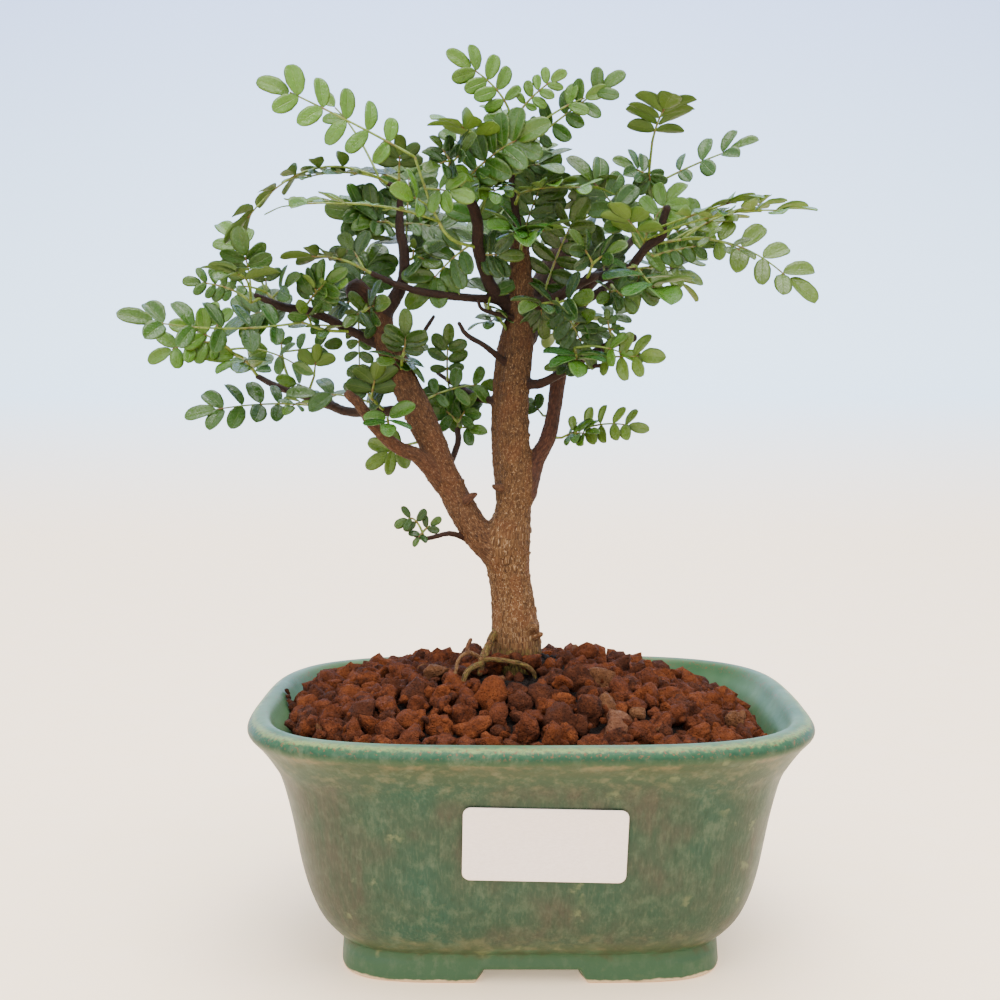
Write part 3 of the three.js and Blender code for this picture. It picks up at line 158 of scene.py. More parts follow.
# Wood: each limb's youth, from 0 for old and ridged bark to 1 for dark and smooth, and its
# stations (x, y, z, radius)
LIMBS = {
    "trunk": (0, [
        (-3.4, 0, 57, 6.2), (-3.4, 0, 73, 7.2), (-3.4, 0, 80, 7), (-3.9, 0, 86, 6.5),
        (-4.3, 0, 92.6, 6.1), (-5.6, 0, 101.3, 5.9), (-6.2, 0, 110, 6.4), (-4.6, 0, 117, 5.1),
        (-3.6, 0, 126, 4.7), (-4, 0, 135, 4.4), (-4.2, 0, 150, 4.3), (-3, 0, 163, 3.9),
        (-2.2, 0, 172, 3.4), (-2.4, 0, 182, 3.3), (-3, 0, 193, 2.4),
    ]),
    "second_stem": (0.1, [
        (-6.6, 2, 124, 2.8), (-7.4, 3.5, 134, 3), (-7.4, 4, 149, 3), (-6.6, 3, 160, 2.9),
        (-5, 1, 170, 2.4),
    ]),
    "left_limb": (0.18, [
        (-8, 0, 107, 5.2), (-14.8, -1, 113, 4.2), (-23.8, -3, 130, 3.9), (-26.4, -4, 137.2, 3.7),
        (-32.3, -5, 150, 4), (-38, -6, 163, 3.4), (-40.5, -6, 171.5, 2.7),
    ]),
    "left_stub": (0.4, [(-41, -6, 171, 2.6), (-44, -6, 176, 2.9), (-47, -7, 179, 3)]),
    "left_leader": (0.9, [
        (-40, -6, 172, 2.2), (-36, -6, 178, 1.9), (-34, -7, 183, 1.6), (-34, -8, 190, 1.4),
        (-35, -8, 195, 1.3), (-35, -8, 201, 0.9), (-35, -9, 206, 0.7), (-38, -11, 207, 0.6),
    ]),
    "stub_branch": (0.3, [
        (-24, -3, 127, 2.8), (-30, -8, 134, 2.2), (-36, -11, 137, 1.8), (-42, -14, 143, 1.6),
        (-45, -17, 148, 1.5), (-48, -19, 151, 1.3),
    ]),
    "left_branch": (0.9, [
        (-42, -6, 165, 1.5), (-48, -9, 168, 1.2), (-58, -14, 173, 1.2), (-65, -17, 174, 1.2),
        (-72, -20, 177, 0.6),
    ]),
    "low_left_branch": (0.9, [
        (-31, -3, 147, 1.6), (-49, 5, 146, 1.4), (-56, 8, 148, 1.3), (-65, 11, 151, 1.1),
        (-71, 12, 153, 1), (-77, 13, 156, 0.8),
    ]),
    "low_twig": (0.9, [
        (-17, -1, 111, 0.9), (-22, -6, 113, 0.7), (-28, -10, 112, 0.6), (-31, -12, 113, 0.5),
    ]),
    "cross_branch": (0.9, [
        (-7, -1, 177, 1.3), (-16, -8, 177, 1.1), (-27, -12, 178, 1), (-35, -14, 180, 0.9),
        (-42, -15, 183, 0.7),
    ]),
    "dark_leader": (0.9, [
        (-6, 0, 175, 1.9), (-11, -5, 181, 1.7), (-14, -9, 190, 1.5), (-14, -12, 196, 1.5),
        (-16, -15, 202, 1.3), (-21, -18, 206, 1), (-22, -19, 207, 0.9),
    ]),
    "dead_twig_a": (0.9, [
        (-7, -2, 160, 1), (-12, -8, 164, 0.8), (-17, -11, 167, 0.7), (-19, -12, 170, 0.5),
    ]),
    "dead_twig_b": (0.9, [
        (-2.6, -0.5, 171.6, 0.8), (-10, -7, 173, 0.6), (-13, -9, 174, 0.5), (-14, -10, 176, 0.45),
    ]),
    "back_twig": (0.9, [
        (-9, 3, 149, 1.2), (-14, 9, 150, 1.1), (-18, 12, 152, 0.9), (-23, 15, 155, 0.7),
        (-26, 17, 157, 0.5),
    ]),
    "fork_twig": (0.9, [(-23, -1, 129, 1), (-20, 5, 137, 0.9), (-20, 8, 141, 0.8)]),
    "limb_spur": (0.9, [(-37, -6, 162, 0.8), (-31, -7, 165, 0.6), (-26, -8, 172, 0.5)]),
    "right_branch": (0.5, [
        (-1, 0, 124, 3), (1.7, 1, 132, 2.4), (5.2, 2, 139, 2.2), (7, 3, 147, 2), (8, 4, 154, 2.1),
        (10, 5, 163, 1.9), (12, 6, 169, 1.9), (15, 7, 178, 1.8), (17, 7, 183, 1.7),
    ]),
    "right_twig": (0.9, [
        (-1, -1, 154, 1.5), (3, -4, 154, 1.3), (9, -8, 157, 1.1), (13, -11, 158, 0.8),
        (20, -14, 159, 0.5),
    ]),
    "right_stub": (0.9, [
        (9, 4, 159, 1.2), (13, -2, 160, 1.2), (19, -10, 163, 1.25), (23, -14, 165, 1.25),
        (27, -17, 166, 1.2),
    ]),
    "upper_limb": (0.6, [
        (-1, 4, 167, 3.4), (2, 10, 177, 3.6), (6, 14, 186, 3.4), (10, 17, 192, 3), (14, 19, 196, 2.4),
    ]),
    "side_twig": (0.9, [(-1, 3, 171, 1.3), (5, 8, 173, 1), (9, 12, 174, 0.8)]),
    "right_leader": (0.9, [
        (17, 7, 183, 1.6), (23, 2, 184, 1.5), (27, -4, 185, 1.3), (30, -8, 189, 1.2),
        (32, -11, 191, 1.2), (35, -13, 193, 1.1), (35, -14, 197, 1), (36, -15, 200, 1),
    ]),
    "right_inner": (0.9, [(14, 7, 176, 1.4), (19, 2, 179, 1.2), (22, -4, 181, 0.9)]),
    "right_back": (0.9, [
        (17, 7, 182, 1.5), (24, 12, 189, 1.3), (28, 16, 193, 1.1), (32, 18, 198, 0.9),
        (33, 14, 204, 0.7),
    ]),
    "front_fork": (0.9, [(0, -1, 175, 1.8), (7, -8, 177, 1.5), (12, -13, 180, 1.3), (17, -17, 182, 1)]),
    "top_twig": (0.9, [(-3, 0, 193, 1.3), (-4, -1, 202, 1), (-5, -2, 209, 0.8), (-3, -4, 214, 0.6)]),
    "back_limb": (0.8, [
        (-2, 2, 169, 1.7), (-5, 14, 178, 1.4), (-9, 24, 184, 1.1), (-11, 30, 190, 0.8),
    ]),
    "trunk_knob": (0, [(0, -2, 86, 2.6), (1.3, -5.5, 87, 1.4)]),
    "limb_wart": (0.4, [(-17.4, -5, 122.2, 1.3), (-15.8, -5.2, 123.2, 1), (-14.8, -5.4, 123.8, 0.6)]),
    "trunk_spur": (0.3, [(-8, -3, 125.4, 1.1), (-9.4, -3.4, 125.6, 0.8), (-10, -3.5, 126, 0.5)]),
    "trunk_wart": (0, [(1.4, -4, 84.4, 1.3), (2.7, -4.2, 84.7, 0.9), (3.4, -4.3, 84.9, 0.6)]),
    "root_flank": (0, [
        (-7.5, -1, 86.5, 1.3), (-10, -4, 84.3, 1.2), (-11.6, -8, 81.6, 1.1), (-12.8, -11, 79, 1),
        (-13.6, -12.6, 75.5, 0.9),
    ]),
    "root_arch": (0, [
        (-12.8, -11, 79, 0.8), (-9.2, -13, 79.4, 0.65), (-4, -14, 78.8, 0.6), (-1, -14, 77.8, 0.6),
        (1, -13, 75.8, 0.6), (1.8, -12.4, 72.8, 0.6),
    ]),
    "root_loop": (0, [
        (-12.9, -11.4, 79.2, 0.6), (-14.4, -12.2, 80.2, 0.6), (-16.2, -13.6, 81.3, 0.6),
        (-18, -14.6, 81, 0.55), (-19.4, -15.5, 79.4, 0.5), (-20, -16.4, 76.6, 0.5),
        (-20.4, -17, 72.5, 0.5),
    ]),
    "root_low": (0, [
        (-13.5, -12.3, 78, 0.9), (-15.3, -14.2, 77.5, 0.85), (-17.1, -16, 76.3, 0.8),
        (-18.6, -18, 72.5, 0.7),
    ]),
    "root_twig": (0.3, [(-17, -14, 81.2, 0.7), (-16.8, -13.5, 83.2, 0.6), (-16, -13, 84.8, 0.6)]),
}
SKIN_VOXEL = 0.42
GRAIN_STEP = 97  # keeps the grain of one limb unlike the next one's
# rings at old pruning scars: limb, height, how far they stand out
RINGS = [
    ("trunk", 154.2, 0.5), ("trunk", 101, 0.2), ("left_limb", 127.5, 0.5),
    ("left_limb", 133, 0.25), ("trunk", 124, 0.25), ("upper_limb", 176, 0.3),
]
RING_HALF_HEIGHT = 0.55
# cut ends: place, radius
CUT_ENDS = [((-48, -9.6, 179.6), 2.6)]
MOSS_TOP = 85.5
ROOT_MOSS = {
    "root_flank": 0.62, "root_arch": 0.62, "root_low": 0.62, "root_loop": 0.3, "root_twig": 0.3,
}

# Leaves
# their greens, above and below
GREENS = {
    "lime": ((76, 120, 32), (98, 124, 48)),
    "light": ((68, 110, 28), (90, 118, 46)),
    # pale is partly the leaves' paler undersides and partly painted light shining through leaves seen
    # against the light
    "pale": ((86, 114, 40), (102, 122, 56)),
    "bright": ((30, 86, 12), (70, 104, 34)),
    "mid": ((34, 78, 16), (74, 100, 36)),
    "silver": ((56, 94, 46), (84, 108, 58)),
    "dark": ((18, 56, 8), (54, 82, 26)),
}
# directions that a leaf's upper side faces
FACES = {
    "front": (0, -1, 0.25), "tilted": (0, -0.75, 0.65), "up": (0, -0.2, 1), "edge": (0, 0.25, 1),
}
LEAFLET_SHARE = 0.6  # longest leaflet over the length of its leaf
LEAFLET_RATIO = 0.6  # width over length
LEAFLET_THICKNESS = 0.24
LEAST_PITCH = 1.4  # between pairs of leaflets
SPREAD_FIRST = 78  # degrees between the rib and its first leaflets
SPREAD_LAST = 54
STEM_RADIUS = 0.5
RIB_RADIUS = 0.3
SHORT_LEAF_BARE = 0.15

# Shoots: name, green, limb, share along it, stem, and for each leaf its place on the stem,
# tip, a point over its middle, pairs of leaflets, their length, facing and bare share of rib
SHOOTS = [
    ("shoot_top_left", "lime", "dark_leader", 0.34,
     [(-21, -16, 192), (-25, -19, 198), (-28, -22, 206), (-30, -24, 212)], [
        (1, (-70, -32, 231), (-48, -29, 221), 5, 8, "front", 0.1),
        (0.42, (-67, -40, 197), (-43, -33, 199), 4, 7.5, "up", 0.15),
        (0.7, (-16, -26, 201), (-21, -26, 203), 2, 6.5, "front", 0.2),
        (0.55, (-34, -34, 202), (-30, -30, 201), 1, 8, "front", 0.2),
    ]),
    ("leaf_arch_left", "mid", "left_leader", 1, [(-40, -14, 208)], [
        (1, (-79, -26, 187), (-61, -20, 208), 5, 8, "edge", 0.12),
    ]),
    ("tuft_leader_top", "dark", "left_leader", 0.86, [(-35, -10, 210)], [
        (1, (-34, -18, 217), None, 2, 9, "edge", 0.3), (0.5, (-49, -2, 210), None, 2, 8, "up", 0.2),
    ]),
    ("shoot_top", "lime", "dark_leader", 0.52,
     [(-11, -9, 206), (-8, -9, 211), (-5, -10, 216), (-4, -10, 221), (-5, -11, 224)], [
        (1, (-24, -18, 240), (-11, -14, 233), 4, 7, "front", 0.15),
        (0.93, (10, -14, 236), (1, -12, 230), 4, 4.5, "front", 0.25),
        (0.45, (-24, -30, 221), (-16, -20, 219), 3, 9.5, "up", 0.1),
        (0.8, (-12, 0, 228), None, 2, 7, "up", 0.1),
        (0.25, (-18, -24, 207), (-15, -18, 208), 1, 8, "front", 0.2),
    ]),
    ("leaf_top_right", "mid", "top_twig", 1, [(-2, -4, 217)], [
        (1, (26, -10, 237), (10, -8, 226), 5, 6.5, "front", 0.12),
    ]),
    ("shoot_right_top", "mid", "right_back", 1, [(33, 8, 208), (33, 2, 214), (33, -4, 219)], [
        (1, (36, -30, 226), (34, -17, 224), 4, 9.5, "edge", 0.1),
        (0.35, (61, -2, 219), (48, 2, 215), 3, 7.5, "tilted", 0.15),
        (0.5, (23, 4, 214), None, 2, 9, "tilted", 0.1),
    ]),
    ("shoot_right", "lime", "right_leader", 0.43, [(31, -12, 194)], [
        (1, (57, -36, 201), (44, -25, 198), 3, 8.5, "up", 0.3),
        (0.6, (68, -45, 195), (50, -30, 197), 4, 8.5, "up", 0.3),
        (1, (41, -10, 206), None, 2, 7, "tilted", 0.2), (0.5, (21, -24, 198), None, 2, 8, "up", 0.1),
    ]),
    ("leaf_far_right", "pale", "right_leader", 0.57, [(40, -14, 192)], [
        (1, (73, -26, 173), (58, -20, 188), 4, 8.5, "tilted", 0.15),
        (0.7, (58, -8, 197), None, 2, 8, "up", 0.2),
    ]),
    ("leaf_right_small", "mid", "right_leader", 0.48, [(33, -10, 188)], [
        (1, (51, -12, 191), (41, -11, 190), 4, 5, "front", 0.05),
    ]),
    ("leaf_right_pale", "pale", "right_leader", 0.25, [(33, 2, 186)], [
        (1, (50, 15, 188), None, 2, 8, "tilted", 0.1),
        (1, (47, -2, 179), (40, 0, 185), 2, 8, "tilted", 0.1),
        (1, (48, 12, 177), None, 1, 7, "up", 0.4),
    ]),
    ("tuft_right_big", "bright", "right_leader", 0.32, [(28, -14, 185)], [
        (1, (35, -40, 174), (31, -27, 179), 2, 12, "tilted", 0.1),
        (1, (20, -19, 180), None, 1, 11, "tilted", 0.2),
    ]),
    ("tuft_right_fan", "bright", "right_branch", 0.8, [(11, -8, 168), (12, -16, 162)], [
        (1, (12, -28, 154), None, 2, 9, "tilted", 0), (0.45, (17, -16, 171), None, 1, 8, "front", 0.1),
        (0.4, (4, -12, 168), None, 1, 8, "front", 0.1),
    ]),
    ("leaf_right_mid", "pale", "right_stub", 0.3, [(16, -14, 161)], [
        (1, (34, -28, 161), (25, -21, 161), 3, 7, "front", 0.1),
    ]),
    ("leaf_right_low", "pale", "right_branch", 0.25, [(9, 1, 139)], [
        (1, (31, -12, 141), (21, -5, 143), 5, 5.5, "front", 0.05),
    ]),
    ("leaf_mid_right", "mid", "right_branch", 0.34, [(4, 8, 145)], [
        (1, (-1, 12, 149), None, 1, 6, "front", 0.1),
    ]),
    ("leaf_upright", "mid", "back_twig", 0.75, [(-23, 13, 155)], [
        (1, (-22, 10, 171), (-23, 12, 163), 3, 6, "front", 0.1),
    ]),
    ("tuft_fork", "mid", "fork_twig", 1, [(-20, 9, 143)], [
        (1, (-29, 6, 149), None, 2, 8, "tilted", 0.1), (1, (-14, 6, 150), None, 2, 8, "tilted", 0.1),
        (1, (-22, 18, 152), None, 2, 8, "front", 0.1), (0.3, (-12, 4, 139), None, 1, 7, "front", 0.2),
    ]),
    ("leaf_limb_front", "dark", "left_limb", 0.75, [(-34, -16, 161)], [
        (1, (-34, -20, 173), (-33, -18, 167), 3, 6.5, "front", 0.2),
        (1, (-39, -26, 157), None, 1, 9, "tilted", 0.1),
        (1, (-28, -12, 166), None, 1, 9, "tilted", 0.1),
    ]),
    ("tuft_limb_left", "dark", "low_left_branch", 0.1, [(-43, -8, 150)], [
        (1, (-40, -16, 159), None, 2, 8.5, "edge", 0.1), (1, (-49, -8, 157), None, 2, 7, "front", 0.1),
    ]),
    ("tuft_stub", "bright", "stub_branch", 0.45, [(-38, -16, 145)], [
        (1, (-37, -26, 139), None, 1, 8, "tilted", 0.1), (1, (-31, -20, 146), None, 0, 9, "front", 0),
        (1, (-43, -20, 143), None, 0, 9, "front", 0),
    ]),
    ("leaf_hanging", "pale", "left_limb", 0.52, [(-34, 4, 137)], [
        (1, (-46, 0, 128), (-39, 3, 135), 2, 7, "front", 0.1),
    ]),
    ("tuft_low", "dark", "low_twig", 0.75, [(-29, -13, 114)], [
        (1, (-35, -16, 114), (-32, -15, 118), 2, 4, "front", 0.1),
        (1, (-24, -12, 117), None, 1, 5, "front", 0), (1, (-31, -16, 110), None, 1, 4, "front", 0),
    ]),
    ("shoot_far_left", "mid", "left_branch", 0.25, [(-54, -16, 168), (-60, -20, 170)], [
        (1, (-104, -40, 171), (-81, -31, 168), 5, 8.5, "tilted", 0.05),
        (0.5, (-54, -26, 165), None, 1, 6, "up", 0.1), (0.8, (-60, -26, 174), None, 1, 6, "front", 0.1),
    ]),
    ("shoot_left_tip", "mid", "left_branch", 0.95, [(-73, -22, 175)], [
        (1, (-76, -28, 194), (-73, -26, 184), 3, 7, "front", 0.35),
        (1, (-78, -48, 178), (-73, -35, 181), 2, 9.5, "up", 0.3),
        (1, (-91, -26, 180), (-80, -24, 179), 4, 4.5, "front", 0.3),
    ]),
    ("leaf_left_rise", "mid", "left_branch", 0.78, [(-70, -14, 178)], [
        (1, (-71, -12, 186), None, 1, 8, "front", 0.3),
        (0.6, (-60, -22, 180), None, 1, 8, "tilted", 0.1),
    ]),
    ("shoot_left_low", "light", "low_left_branch", 1, [(-80, 8, 161), (-83, 4, 163), (-86, 2, 167)], [
        (0.75, (-105, -6, 159), (-93, -1, 165), 4, 6.5, "front", 0.05),
        (1, (-88, 6, 176), None, 1, 8.5, "front", 0.1),
        (0.35, (-82, -6, 153), (-79, 0, 159), 1, 9.5, "tilted", 0.1),
        (0.35, (-90, -2, 160), None, 0, 10, "front", 0), (0.3, (-72, 0, 159), None, 0, 10, "front", 0),
    ]),
    ("leaf_low_left", "mid", "low_left_branch", 0.5, [(-62, 6, 148)], [
        (1, (-95, -4, 145), (-78, 2, 148), 4, 8, "tilted", 0.15),
    ]),
    ("leaf_left_inner", "light", "low_left_branch", 0.55, [(-60, 5, 156)], [
        (1, (-58, -2, 163), None, 1, 7.5, "edge", 0.3), (0.3, (-69, 0, 154), None, 1, 6, "front", 0.2),
    ]),
    ("leaf_left_round", "mid", "low_left_branch", 0.64, [(-69, 12, 158), (-70, 12, 163)], [
        (1, (-70, 12, 169), None, 1, 5.5, "front", 0.2),
        (1, (-52, 12, 166), (-62, 12, 164), 2, 5, "front", 0.15),
    ]),
    ("leaf_cross_tip", "dark", "cross_branch", 1, [(-46, -17, 185)], [
        (1, (-65, -24, 185), (-55, -21, 187), 3, 7.5, "edge", 0.15),
        (0.5, (-51, -12, 193), None, 1, 8, "front", 0.1),
    ]),
    ("leaf_left_lime", "lime", "left_branch", 0.47, [(-55, -17, 176)], [
        (1, (-59, -22, 181), None, 1, 10, "edge", 0), (1, (-48, -24, 179), None, 1, 8, "tilted", 0),
    ]),
    ("tuft_stub_left", "dark", "left_stub", 0.5, [(-44, -16, 173)], [
        (1, (-48, -24, 168), None, 1, 9, "front", 0), (1, (-37, -26, 173), None, 1, 10, "front", 0),
    ]),
    ("tuft_left_back", "dark", "left_stub", 0.8, [(-49, 4, 177)], [
        (1, (-56, 8, 171), None, 2, 8, "tilted", 0.1), (1, (-56, 14, 181), None, 2, 8, "tilted", 0.1),
    ]),
    ("tuft_leader_mid", "mid", "left_leader", 0.57, [(-39, -4, 198)], [
        (1, (-53, -4, 200), None, 2, 9, "tilted", 0.1),
        (0.8, (-47, -12, 194), None, 2, 8, "tilted", 0.1),
    ]),
    ("tuft_leader_right", "dark", "left_leader", 0.36, [(-31, -6, 188)], [
        (1, (-25, -16, 183), None, 1, 10, "front", 0.2), (1, (-20, -2, 191), None, 2, 9, "tilted", 0.1),
        (0.8, (-31, -10, 192), None, 1, 7, "front", 0.2),
    ]),
    ("tuft_dark_leader", "dark", "dark_leader", 1, [(-21, -24, 211)], [
        (1, (-26, -22, 217), None, 2, 8, "tilted", 0), (0.7, (-13, -30, 214), None, 2, 8, "tilted", 0),
        (1, (-27, -30, 206), None, 1, 8, "front", 0),
    ]),
    ("tuft_centre", "bright", "trunk", 0.97, [(-2, -12, 194)], [
        (1, (9, -26, 194), (4, -18, 194), 2, 9, "up", 0), (1, (-10, -24, 193), None, 2, 9, "tilted", 0),
        (1, (-1, -28, 188), None, 1, 9, "front", 0),
    ]),
    ("leaf_centre_lime", "lime", "top_twig", 0.35, [(-3, -6, 205)], [
        (1, (23, -18, 203), (9, -12, 206), 5, 8, "up", 0.05),
        (1, (-13, -20, 205), None, 1, 8, "tilted", 0.1),
    ]),
    ("tuft_silver", "silver", "top_twig", 0.75, [(-1, 0, 213)], [
        (1, (8, -14, 208), None, 1, 11, "tilted", 0), (1, (7, 0, 219), None, 2, 8, "tilted", 0),
        (1, (-8, 12, 222), None, 2, 7, "tilted", 0),
    ]),
    ("leaf_right_silver", "silver", "upper_limb", 1, [(13, 10, 201)], [
        (1, (22, -6, 212), (17, 2, 206), 3, 9, "up", 0.2),
        (0.6, (30, 0, 201), None, 2, 8, "tilted", 0.2),
    ]),
    ("tuft_front_fork", "dark", "front_fork", 0.35, [(7, -16, 175)], [
        (1, (-3, -30, 170), None, 2, 8, "tilted", 0), (1, (16, -26, 174), None, 1, 8, "front", 0),
    ]),
    ("tuft_front_inner", "dark", "front_fork", 0.85, [(16, -22, 185)], [
        (1, (10, -26, 192), None, 2, 8, "tilted", 0), (1, (24, -28, 188), None, 1, 9, "tilted", 0),
    ]),
    ("tuft_right_inner", "mid", "right_inner", 1, [(23, -8, 179)], [
        (1, (28, -12, 172), None, 2, 7, "front", 0), (1, (18, -16, 174), None, 1, 7, "front", 0),
    ]),
    ("tuft_right_stub", "mid", "right_stub", 0.75, [(21, -14, 168)], [
        (1, (20, -14, 173), None, 2, 5.5, "front", 0), (1, (25, -14, 168), None, 1, 5, "front", 0),
    ]),
    ("tuft_back_crown", "dark", "upper_limb", 0.5, [(6, 22, 189)], [
        (1, (-2, 42, 201), None, 2, 8, "up", 0.1), (1, (16, 46, 191), None, 2, 8, "up", 0.1),
    ]),
    ("tuft_back_right", "mid", "right_back", 0.3, [(25, 20, 189)], [
        (1, (36, 44, 182), None, 2, 8, "up", 0.1), (1, (20, 44, 200), None, 2, 8, "up", 0.1),
    ]),
    ("tuft_back_side", "mid", "side_twig", 1, [(11, 18, 173)], [
        (1, (21, 40, 168), None, 2, 8, "up", 0.1), (1, (6, 42, 164), None, 1, 8, "up", 0.1),
    ]),
    ("tuft_back_left", "dark", "left_leader", 0.4, [(-33, 0, 191)], [
        (1, (-25, 24, 201), None, 2, 8, "up", 0.1), (1, (-43, 13, 193), None, 2, 8, "up", 0.1),
    ]),
    ("tuft_back_limb", "mid", "back_limb", 1, [(-12, 36, 193)], [
        (1, (-23, 52, 202), None, 2, 9, "up", 0.1), (1, (-7, 44, 205), None, 2, 8, "up", 0.1),
    ]),
    ("tuft_back_mid", "dark", "back_limb", 0.6, [(-8, 24, 181)], [
        (1, (-20, 48, 180), None, 2, 9, "up", 0.1), (1, (2, 44, 182), None, 2, 8, "up", 0.1),
    ]),
    ("tuft_back_low", "mid", "low_left_branch", 0.35, [(-54, 14, 146)], [
        (1, (-66, 46, 149), None, 2, 8, "up", 0.1), (1, (-47, 38, 140), None, 1, 8, "up", 0.1),
    ]),
]

# Short leaves that fill the crown, under the shoot that has the same green: the shoot that
# they grow with, base, tip, pairs, length, facing
SHORT_LEAVES = {
    "leaf_top_right": [("shoot_top", (-11, -9, 206), (-24, 5, 223), 1, 7.3, "front")],
    "shoot_right_top": [("shoot_right_top", (33, 3.8, 212.2), (34, 7, 204), 3, 5.2, "front")],
    "leaf_far_right": [("leaf_far_right", (40, -14, 192), (57, -30, 185), 2, 4.8, "tilted")],
    "leaf_right_small": [
        ("shoot_right", (30.1, -8.4, 189.5), (11, -3, 213), 4, 9, "tilted"),
        ("leaf_right_pale", (30.9, 0.6, 185.6), (28, 5, 172), 4, 8.5, "front"),
    ],
    "leaf_upright": [
        ("leaf_upright", (-23, 14.8, 155), (-21, 12, 138), 2, 9, "up"),
        ("tuft_centre", (-11.5, -8, 173.5), (-9, 2, 184), 1, 7.8, "tilted"),
        ("leaf_limb_front", (-37, -6, 162), (-29, -6, 153), 3, 7.1, "up"),
        ("tuft_centre", (-14.2, -6.6, 177), (-6, -1, 168), 1, 6.8, "up"),
    ],
    "tuft_fork": [("tuft_limb_left", (-33, -2.1, 146.9), (-8, 9, 153), 3, 6.1, "front")],
    "tuft_limb_left": [
        ("tuft_stub_left", (-39.2, -6, 167.2), (-48, -14, 176), 2, 6.5, "tilted"),
        ("leaf_limb_front", (-35, -6.6, 157), (-46, 5, 147), 3, 8.5, "tilted"),
    ],
    "tuft_stub": [("shoot_left_low", (-77.3, 12.5, 156.5), (-82, 23, 160), 3, 6.4, "up")],
    "leaf_left_rise": [
        ("shoot_far_left", (-60.3, -15, 173.3), (-85, -8, 167), 5, 8.8, "tilted"),
        ("leaf_left_lime", (-60.3, -15, 173.3), (-49, -24, 182), 5, 6.7, "front"),
        ("shoot_far_left", (-46, -8, 167), (-64, -16, 168), 1, 4.6, "tilted"),
    ],
    "shoot_left_low": [("shoot_left_low", (-83.3, 3.8, 163.4), (-98, -4, 169), 1, 7.4, "front")],
    "leaf_left_inner": [
        ("leaf_right_pale", (25.7, -2, 184.7), (53, 5, 199), 5, 9, "front"),
        ("leaf_left_rise", (-70, -14, 178), (-85, 2, 196), 1, 7.5, "tilted"),
        ("leaf_right_low", (9, 1, 139), (19, -10, 139), 4, 5.5, "tilted"),
        ("leaf_low_left", (-62, 6, 148), (-66, -9, 146), 2, 4.8, "tilted"),
        ("shoot_top", (-5, -10, 216), (20, -9, 231), 1, 6.1, "front"),
        ("leaf_left_rise", (-70, -14, 178), (-81, -23, 178), 1, 5, "tilted"),
        ("leaf_far_right", (40, -14, 192), (67, -16, 201), 4, 5.1, "edge"),
        ("tuft_right_fan", (11.8, -14.2, 163.4), (29, -23, 159), 1, 5.9, "front"),
        ("leaf_arch_left", (-40, -14, 208), (-56, -1, 231), 1, 6.1, "front"),
        ("tuft_leader_mid", (-39, -4, 198), (-62, 0, 203), 3, 5.9, "up"),
    ],
    "leaf_left_round": [("tuft_left_back", (-49, 4, 177), (-41, 14, 192), 4, 9, "front")],
    "tuft_leader_mid": [
        ("shoot_top_left", (-14, -10, 192), (-33, -9, 172), 4, 9, "front"),
        ("shoot_top", (-19.3, -17, 204.7), (4, -24, 219), 5, 8.9, "front"),
        ("tuft_back_left", (-33.6, -4.7, 189.6), (-33, 9, 217), 6, 9, "tilted"),
        ("tuft_leader_mid", (-39, -4, 198), (-55, -7, 199), 4, 8.6, "front"),
        ("tuft_left_back", (-46.8, -3.2, 177.5), (-47, 2, 151), 6, 4.7, "up"),
        ("tuft_leader_mid", (-37.2, -5.8, 196.6), (-16, 0, 192), 4, 6.9, "tilted"),
    ],
    "tuft_leader_right": [("shoot_top_left", (-13.4, -8.2, 188.2), (-2, -8, 186), 3, 7.2, "front")],
    "tuft_centre": [
        ("shoot_top_left", (-11.6, -5.8, 182.8), (-17, -2, 209), 1, 8.9, "tilted"),
        ("shoot_top", (-10.7, -9, 206.5), (-9, -25, 200), 4, 5.8, "up"),
    ],
    "tuft_silver": [
        ("tuft_limb_left", (-41, -1.9, 147.6), (-67, 2, 149), 1, 8.1, "tilted"),
        ("shoot_left_low", (-83.3, 3.8, 163.4), (-59, -8, 156), 1, 5.7, "front"),
        ("leaf_arch_left", (-40, -14, 208), (-65, -19, 205), 5, 6.1, "up"),
    ],
    "leaf_right_silver": [("tuft_right_fan", (2, 5.5, 172), (-17, -2, 168), 4, 5.6, "up")],
    "tuft_front_fork": [
        ("tuft_right_fan", (2, 5.5, 172), (14, -11, 201), 6, 7.6, "front"),
        ("tuft_front_fork", (7.1, -13.7, 175.6), (17, -13, 156), 4, 7, "tilted"),
        ("tuft_front_fork", (2.8, -3.8, 175.8), (4, 1, 165), 3, 7.5, "front"),
        ("tuft_right_fan", (15.3, -12, 158.3), (4, -10, 157), 2, 5.2, "tilted"),
    ],
    "tuft_front_inner": [("leaf_right_pale", (21, 3.7, 183.7), (18, 8, 197), 3, 8.2, "front")],
    "tuft_right_inner": [("tuft_centre", (-2.9, 0, 190.8), (7, 0, 215), 5, 9, "front")],
    "tuft_right_stub": [("leaf_right_mid", (13, -2, 160), (28, 14, 175), 2, 5.9, "tilted")],
}


# Meshes


def add_object(name, data):
    """A new object in the scene."""
    made = bpy.data.objects.new(name, data)
    bpy.context.scene.collection.objects.link(made)
    return made


def dress(mesh, name, materials, nodes):
    """The smooth piece that is made of this mesh and stands for these nodes."""
    mesh.polygons.foreach_set("use_smooth", np.full(len(mesh.polygons), True))
    mesh.materials.clear()
    for material in materials:
        mesh.materials.append(material)
    made = add_object(name, mesh)
    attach(made, "root")
    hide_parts(*nodes)
    return made


def make_piece(name, points, faces, materials, nodes, face_materials=None):
    """A piece of the object from points in millimetres."""
    mesh = bpy.data.meshes.new(name)
    placed = np.asarray(points, float) * MM + POT_MIDDLE
    mesh.from_pydata(placed.tolist(), [], faces)
    mesh.update()
    made = dress(mesh, name, materials, nodes)
    if face_materials is not None:
        mesh.polygons.foreach_set("material_index", np.asarray(face_materials, np.int32))
    return made


